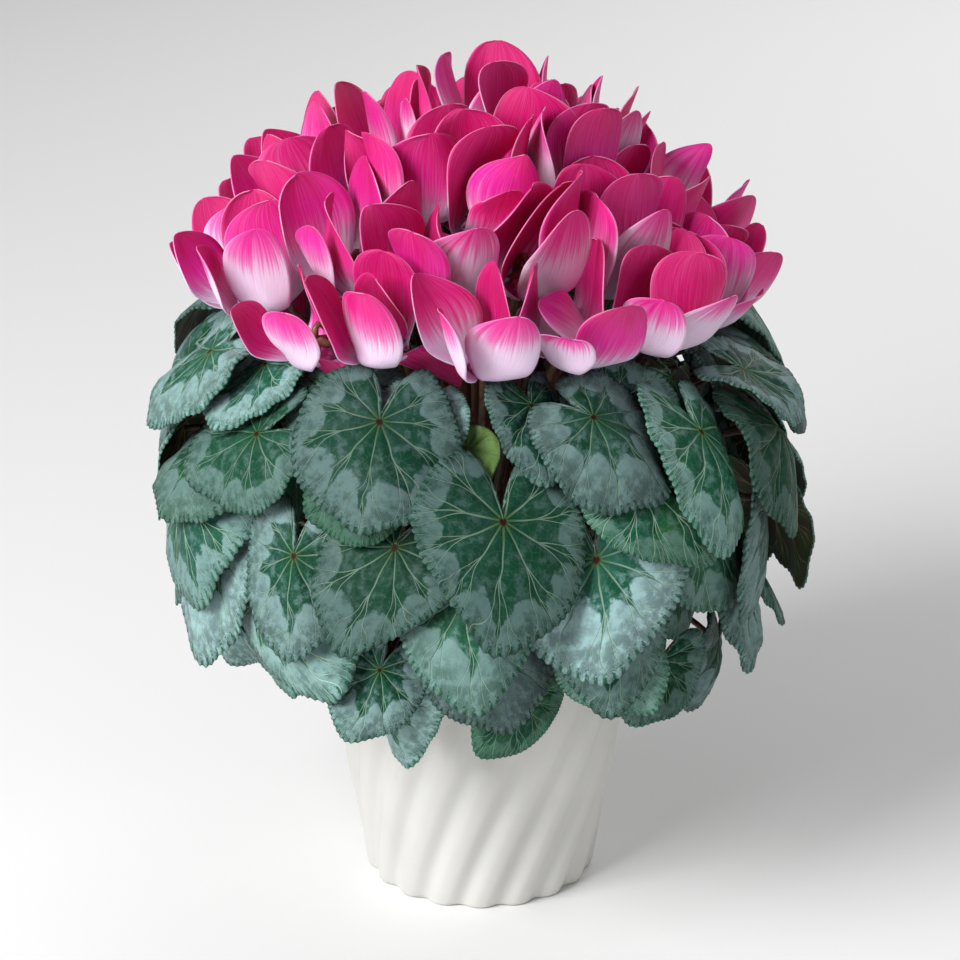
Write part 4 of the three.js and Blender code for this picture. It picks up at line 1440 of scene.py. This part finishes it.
def sepal_blank():
    """Calyx: five short pointed sepals round the end of the stalk, flat against the cap"""
    widest = 0.0066
    rows = [(0, 0.0068), (0.0022, 0.0066), (0.0046, 0.0056), (widest, 0.0040), (0.0058, 0.0034),
            (0.0030, 0.0044), (0, 0.0046)]
    blank = ring_stack("sepal_blank", SIDES.calyx, rows)
    points = points_of(blank)
    azimuth = np.arctan2(points[:, 1], points[:, 0])
    pointed = 0.35 * np.cos(PETAL.count * azimuth) * off_axis(points) / widest
    points[:, :2] *= (1 + pointed)[:, None]
    move_points(blank, points)
    return blank


def stalk_route(bloom, shares):
    """Up from the corm to the mouth's inner side, then over in a hook and down to the calyx"""
    start = (bloom.mouth + bloom.inward * (THROAT.radius + STALK.outside)
             - bloom.axis * STALK.below)
    foot = Vector((bloom.mouth.x * STALK.foot, bloom.mouth.y * STALK.foot, STAND_ON))
    over = Vector((start.x * STALK.bend_in, start.y * STALK.bend_in,
                   mix(STAND_ON, bloom.mouth.z, STALK.bend_up)))
    calyx = bloom.mouth + bloom.axis * STALK.calyx
    hook = (start, start + bloom.axis * STALK.hook_side,
            start + bloom.axis * STALK.hook_top - bloom.inward * STALK.hook_in,
            calyx + bloom.axis * STALK.hook_over, calyx)
    split = STALK.hook_from
    low, low_heading = curve_points((foot, over, start), np.clip(shares / split, 0, 1))
    high, high_heading = curve_points(hook, np.clip((shares - split) / (1 - split), 0, 1))
    upper = (shares > split)[:, None]
    return np.where(upper, high, low), np.where(upper, high_heading, low_heading)


def bloom_stalk(blank, bloom, radius):
    return bent_rod(blank, lambda along: stalk_route(bloom, along),
                    lambda along: radius * (1.2 - 0.3 * along), sideways(bloom.azimuth))


def build_blooms(settings):
    blooms = bloom_places()
    shapes = [petal_shape(bloom, number, settings.length)
              for bloom in blooms for number in range(PETAL.count)]
    ease_petals(shapes, settings.breadth)
    sheet, cup, calyx = petal_blank(), cup_blank(), sepal_blank()
    rod = rod_blank("bloom_stalk_blank", *BLOOM_ROD)
    # The inner face of a petal is pink further down
    outer = petal_face("petal_outer", settings, white=settings.white, edge=0.25)
    inner = petal_face("petal_inner", settings, white=settings.white - 0.22, edge=0.26)
    skin = stalk_skin("bloom_stalk_skin", settings.stalk, (0.24, 0.15, 0.08))
    materials = (outer, inner, skin, flower_eye(settings))
    for number, bloom in enumerate(blooms, 1):
        petals = [petal(sheet, shape, settings) for shape in shapes if shape.bloom is bloom]
        piece = joined(petals, "petals")
        paint(piece, materials)
        modify(piece, "SOLIDIFY", thickness=settings.thickness, offset=0, material_offset=1,
               material_offset_rim=0)
        stalk = bloom_stalk(rod, bloom, settings.stalk_radius)
        extras = [(bloom_cup(cup, bloom), 3), (bloom_cup(calyx, bloom), 2), (stalk, 2)]
        for extra, slot_number in extras:
            paint(extra, materials, slot_number)
        piece = joined([piece, *(extra for extra, _ in extras)], f"flower_{number:02d}")
        hand_over(piece, "petal", f"bloom_{number:02d}")
    remove(sheet, cup, calyx, rod)


# Stage

LIGHTS = (
    ("key", 1.1, (-1.25, -1.15, 1.35)),
    ("fill", 1.6, (1.7, -1.2, 0.9)),
    ("back", 1.4, (0.9, 1.7, 1.3)),
)


def area_light(name, power, size, place, aim):
    deselect()
    bpy.ops.object.light_add(type="AREA", location=place)
    light = bpy.context.object
    light.name = name
    light.data.energy = power
    light.data.size = size
    light.rotation_euler = (aim - Vector(place)).to_track_quat("-Z", "Y").to_euler()


def build_stage(settings):
    """Pale floor, soft lights and the camera"""
    scene = bpy.context.scene
    deselect()
    bpy.ops.mesh.primitive_plane_add(size=settings.floor_size, location=(0, 0, -0.0002))
    floor = bpy.context.object
    floor.name = "floor"
    graph = Graph("pale_floor")
    graph.surface(Base_Color=settings.floor_colour, Roughness=0.9)
    paint(floor, [graph.material])

    world = bpy.data.worlds.new("studio")
    world.use_nodes = True
    sky = world.node_tree.nodes["Background"]
    sky.inputs["Color"].default_value = (1, 1, 1, 1)
    sky.inputs["Strength"].default_value = settings.sky
    scene.world = world
    aim = Vector((0, 0, settings.middle))
    for name, size, place in LIGHTS:
        area_light(f"{name}_light", getattr(settings, f"{name}_power"), size, place, aim)
    scene.view_settings.view_transform = "Standard"

    back = Vector((0, -math.cos(settings.elevation), math.sin(settings.elevation)))
    deselect()
    bpy.ops.object.camera_add(location=aim + back * settings.distance)
    camera = bpy.context.object
    camera.name = "camera"
    camera.data.lens = settings.lens
    camera.data.sensor_width = 36
    camera.rotation_euler = (-back).to_track_quat("-Z", "Y").to_euler()
    scene.camera = camera


# Operators and panel

class CYCLAMEN_OT_pot(bpy.types.Operator):
    """Build the spiral-fluted pot"""
    bl_idname = "cyclamen.pot"
    bl_label = "Pot"

    def execute(self, context):
        build_pot(context.scene.cyclamen_pot)
        return {"FINISHED"}


class CYCLAMEN_OT_soil(bpy.types.Operator):
    """Fill the pot with crumbly soil"""
    bl_idname = "cyclamen.soil"
    bl_label = "Soil"

    def execute(self, context):
        build_soil(context.scene.cyclamen_pot, context.scene.cyclamen_earth)
        return {"FINISHED"}


class CYCLAMEN_OT_corm(bpy.types.Operator):
    """Set the corm into the soil"""
    bl_idname = "cyclamen.corm"
    bl_label = "Corm"

    def execute(self, context):
        build_corm(context.scene.cyclamen_earth)
        return {"FINISHED"}


class CYCLAMEN_OT_leaves(bpy.types.Operator):
    """Grow the bunches of marbled leaves"""
    bl_idname = "cyclamen.leaves"
    bl_label = "Leaves"

    def execute(self, context):
        build_leaves(context.scene.cyclamen_leaves)
        return {"FINISHED"}


class CYCLAMEN_OT_blooms(bpy.types.Operator):
    """Grow the blooms on their stalks"""
    bl_idname = "cyclamen.blooms"
    bl_label = "Blooms"

    def execute(self, context):
        build_blooms(context.scene.cyclamen_blooms)
        return {"FINISHED"}


class CYCLAMEN_OT_stage(bpy.types.Operator):
    """Set up the floor, the lights and the camera"""
    bl_idname = "cyclamen.stage"
    bl_label = "Stage"

    def execute(self, context):
        build_stage(context.scene.cyclamen_stage)
        return {"FINISHED"}


SETTINGS = (
    ("cyclamen_pot", CyclamenPot),
    ("cyclamen_earth", CyclamenEarth),
    ("cyclamen_leaves", CyclamenLeaves),
    ("cyclamen_blooms", CyclamenBlooms),
    ("cyclamen_stage", CyclamenStage),
)
OPERATORS = (
    (CYCLAMEN_OT_pot, "cyclamen_pot"),
    (CYCLAMEN_OT_soil, "cyclamen_earth"),
    (CYCLAMEN_OT_corm, "cyclamen_earth"),
    (CYCLAMEN_OT_leaves, "cyclamen_leaves"),
    (CYCLAMEN_OT_blooms, "cyclamen_blooms"),
    (CYCLAMEN_OT_stage, "cyclamen_stage"),
)


class CYCLAMEN_PT_builder(bpy.types.Panel):
    """Lists the plant's pieces with their sizes and colours"""
    bl_label = "Potted cyclamen"
    bl_idname = "CYCLAMEN_PT_builder"
    bl_space_type = "VIEW_3D"
    bl_region_type = "UI"
    bl_category = "Cyclamen"

    def draw(self, context):
        for operator, settings_name in OPERATORS:
            box = self.layout.box()
            box.operator(operator.bl_idname)
            settings = getattr(context.scene, settings_name)
            for name in settings.__annotations__:
                box.prop(settings, name)


def register():
    for name, group in SETTINGS:
        bpy.utils.register_class(group)
        setattr(bpy.types.Scene, name, PointerProperty(type=group))
    for operator, _ in OPERATORS:
        bpy.utils.register_class(operator)
    bpy.utils.register_class(CYCLAMEN_PT_builder)


def unregister():
    bpy.utils.unregister_class(CYCLAMEN_PT_builder)
    for operator, _ in reversed(OPERATORS):
        bpy.utils.unregister_class(operator)
    for name, group in reversed(SETTINGS):
        delattr(bpy.types.Scene, name)
        bpy.utils.unregister_class(group)


def main():
    register()
    bpy.ops.cyclamen.pot()
    bpy.ops.cyclamen.soil()
    bpy.ops.cyclamen.corm()
    bpy.ops.cyclamen.leaves()
    bpy.ops.cyclamen.blooms()
    bpy.ops.cyclamen.stage()


if __name__ == "__main__":
    main()
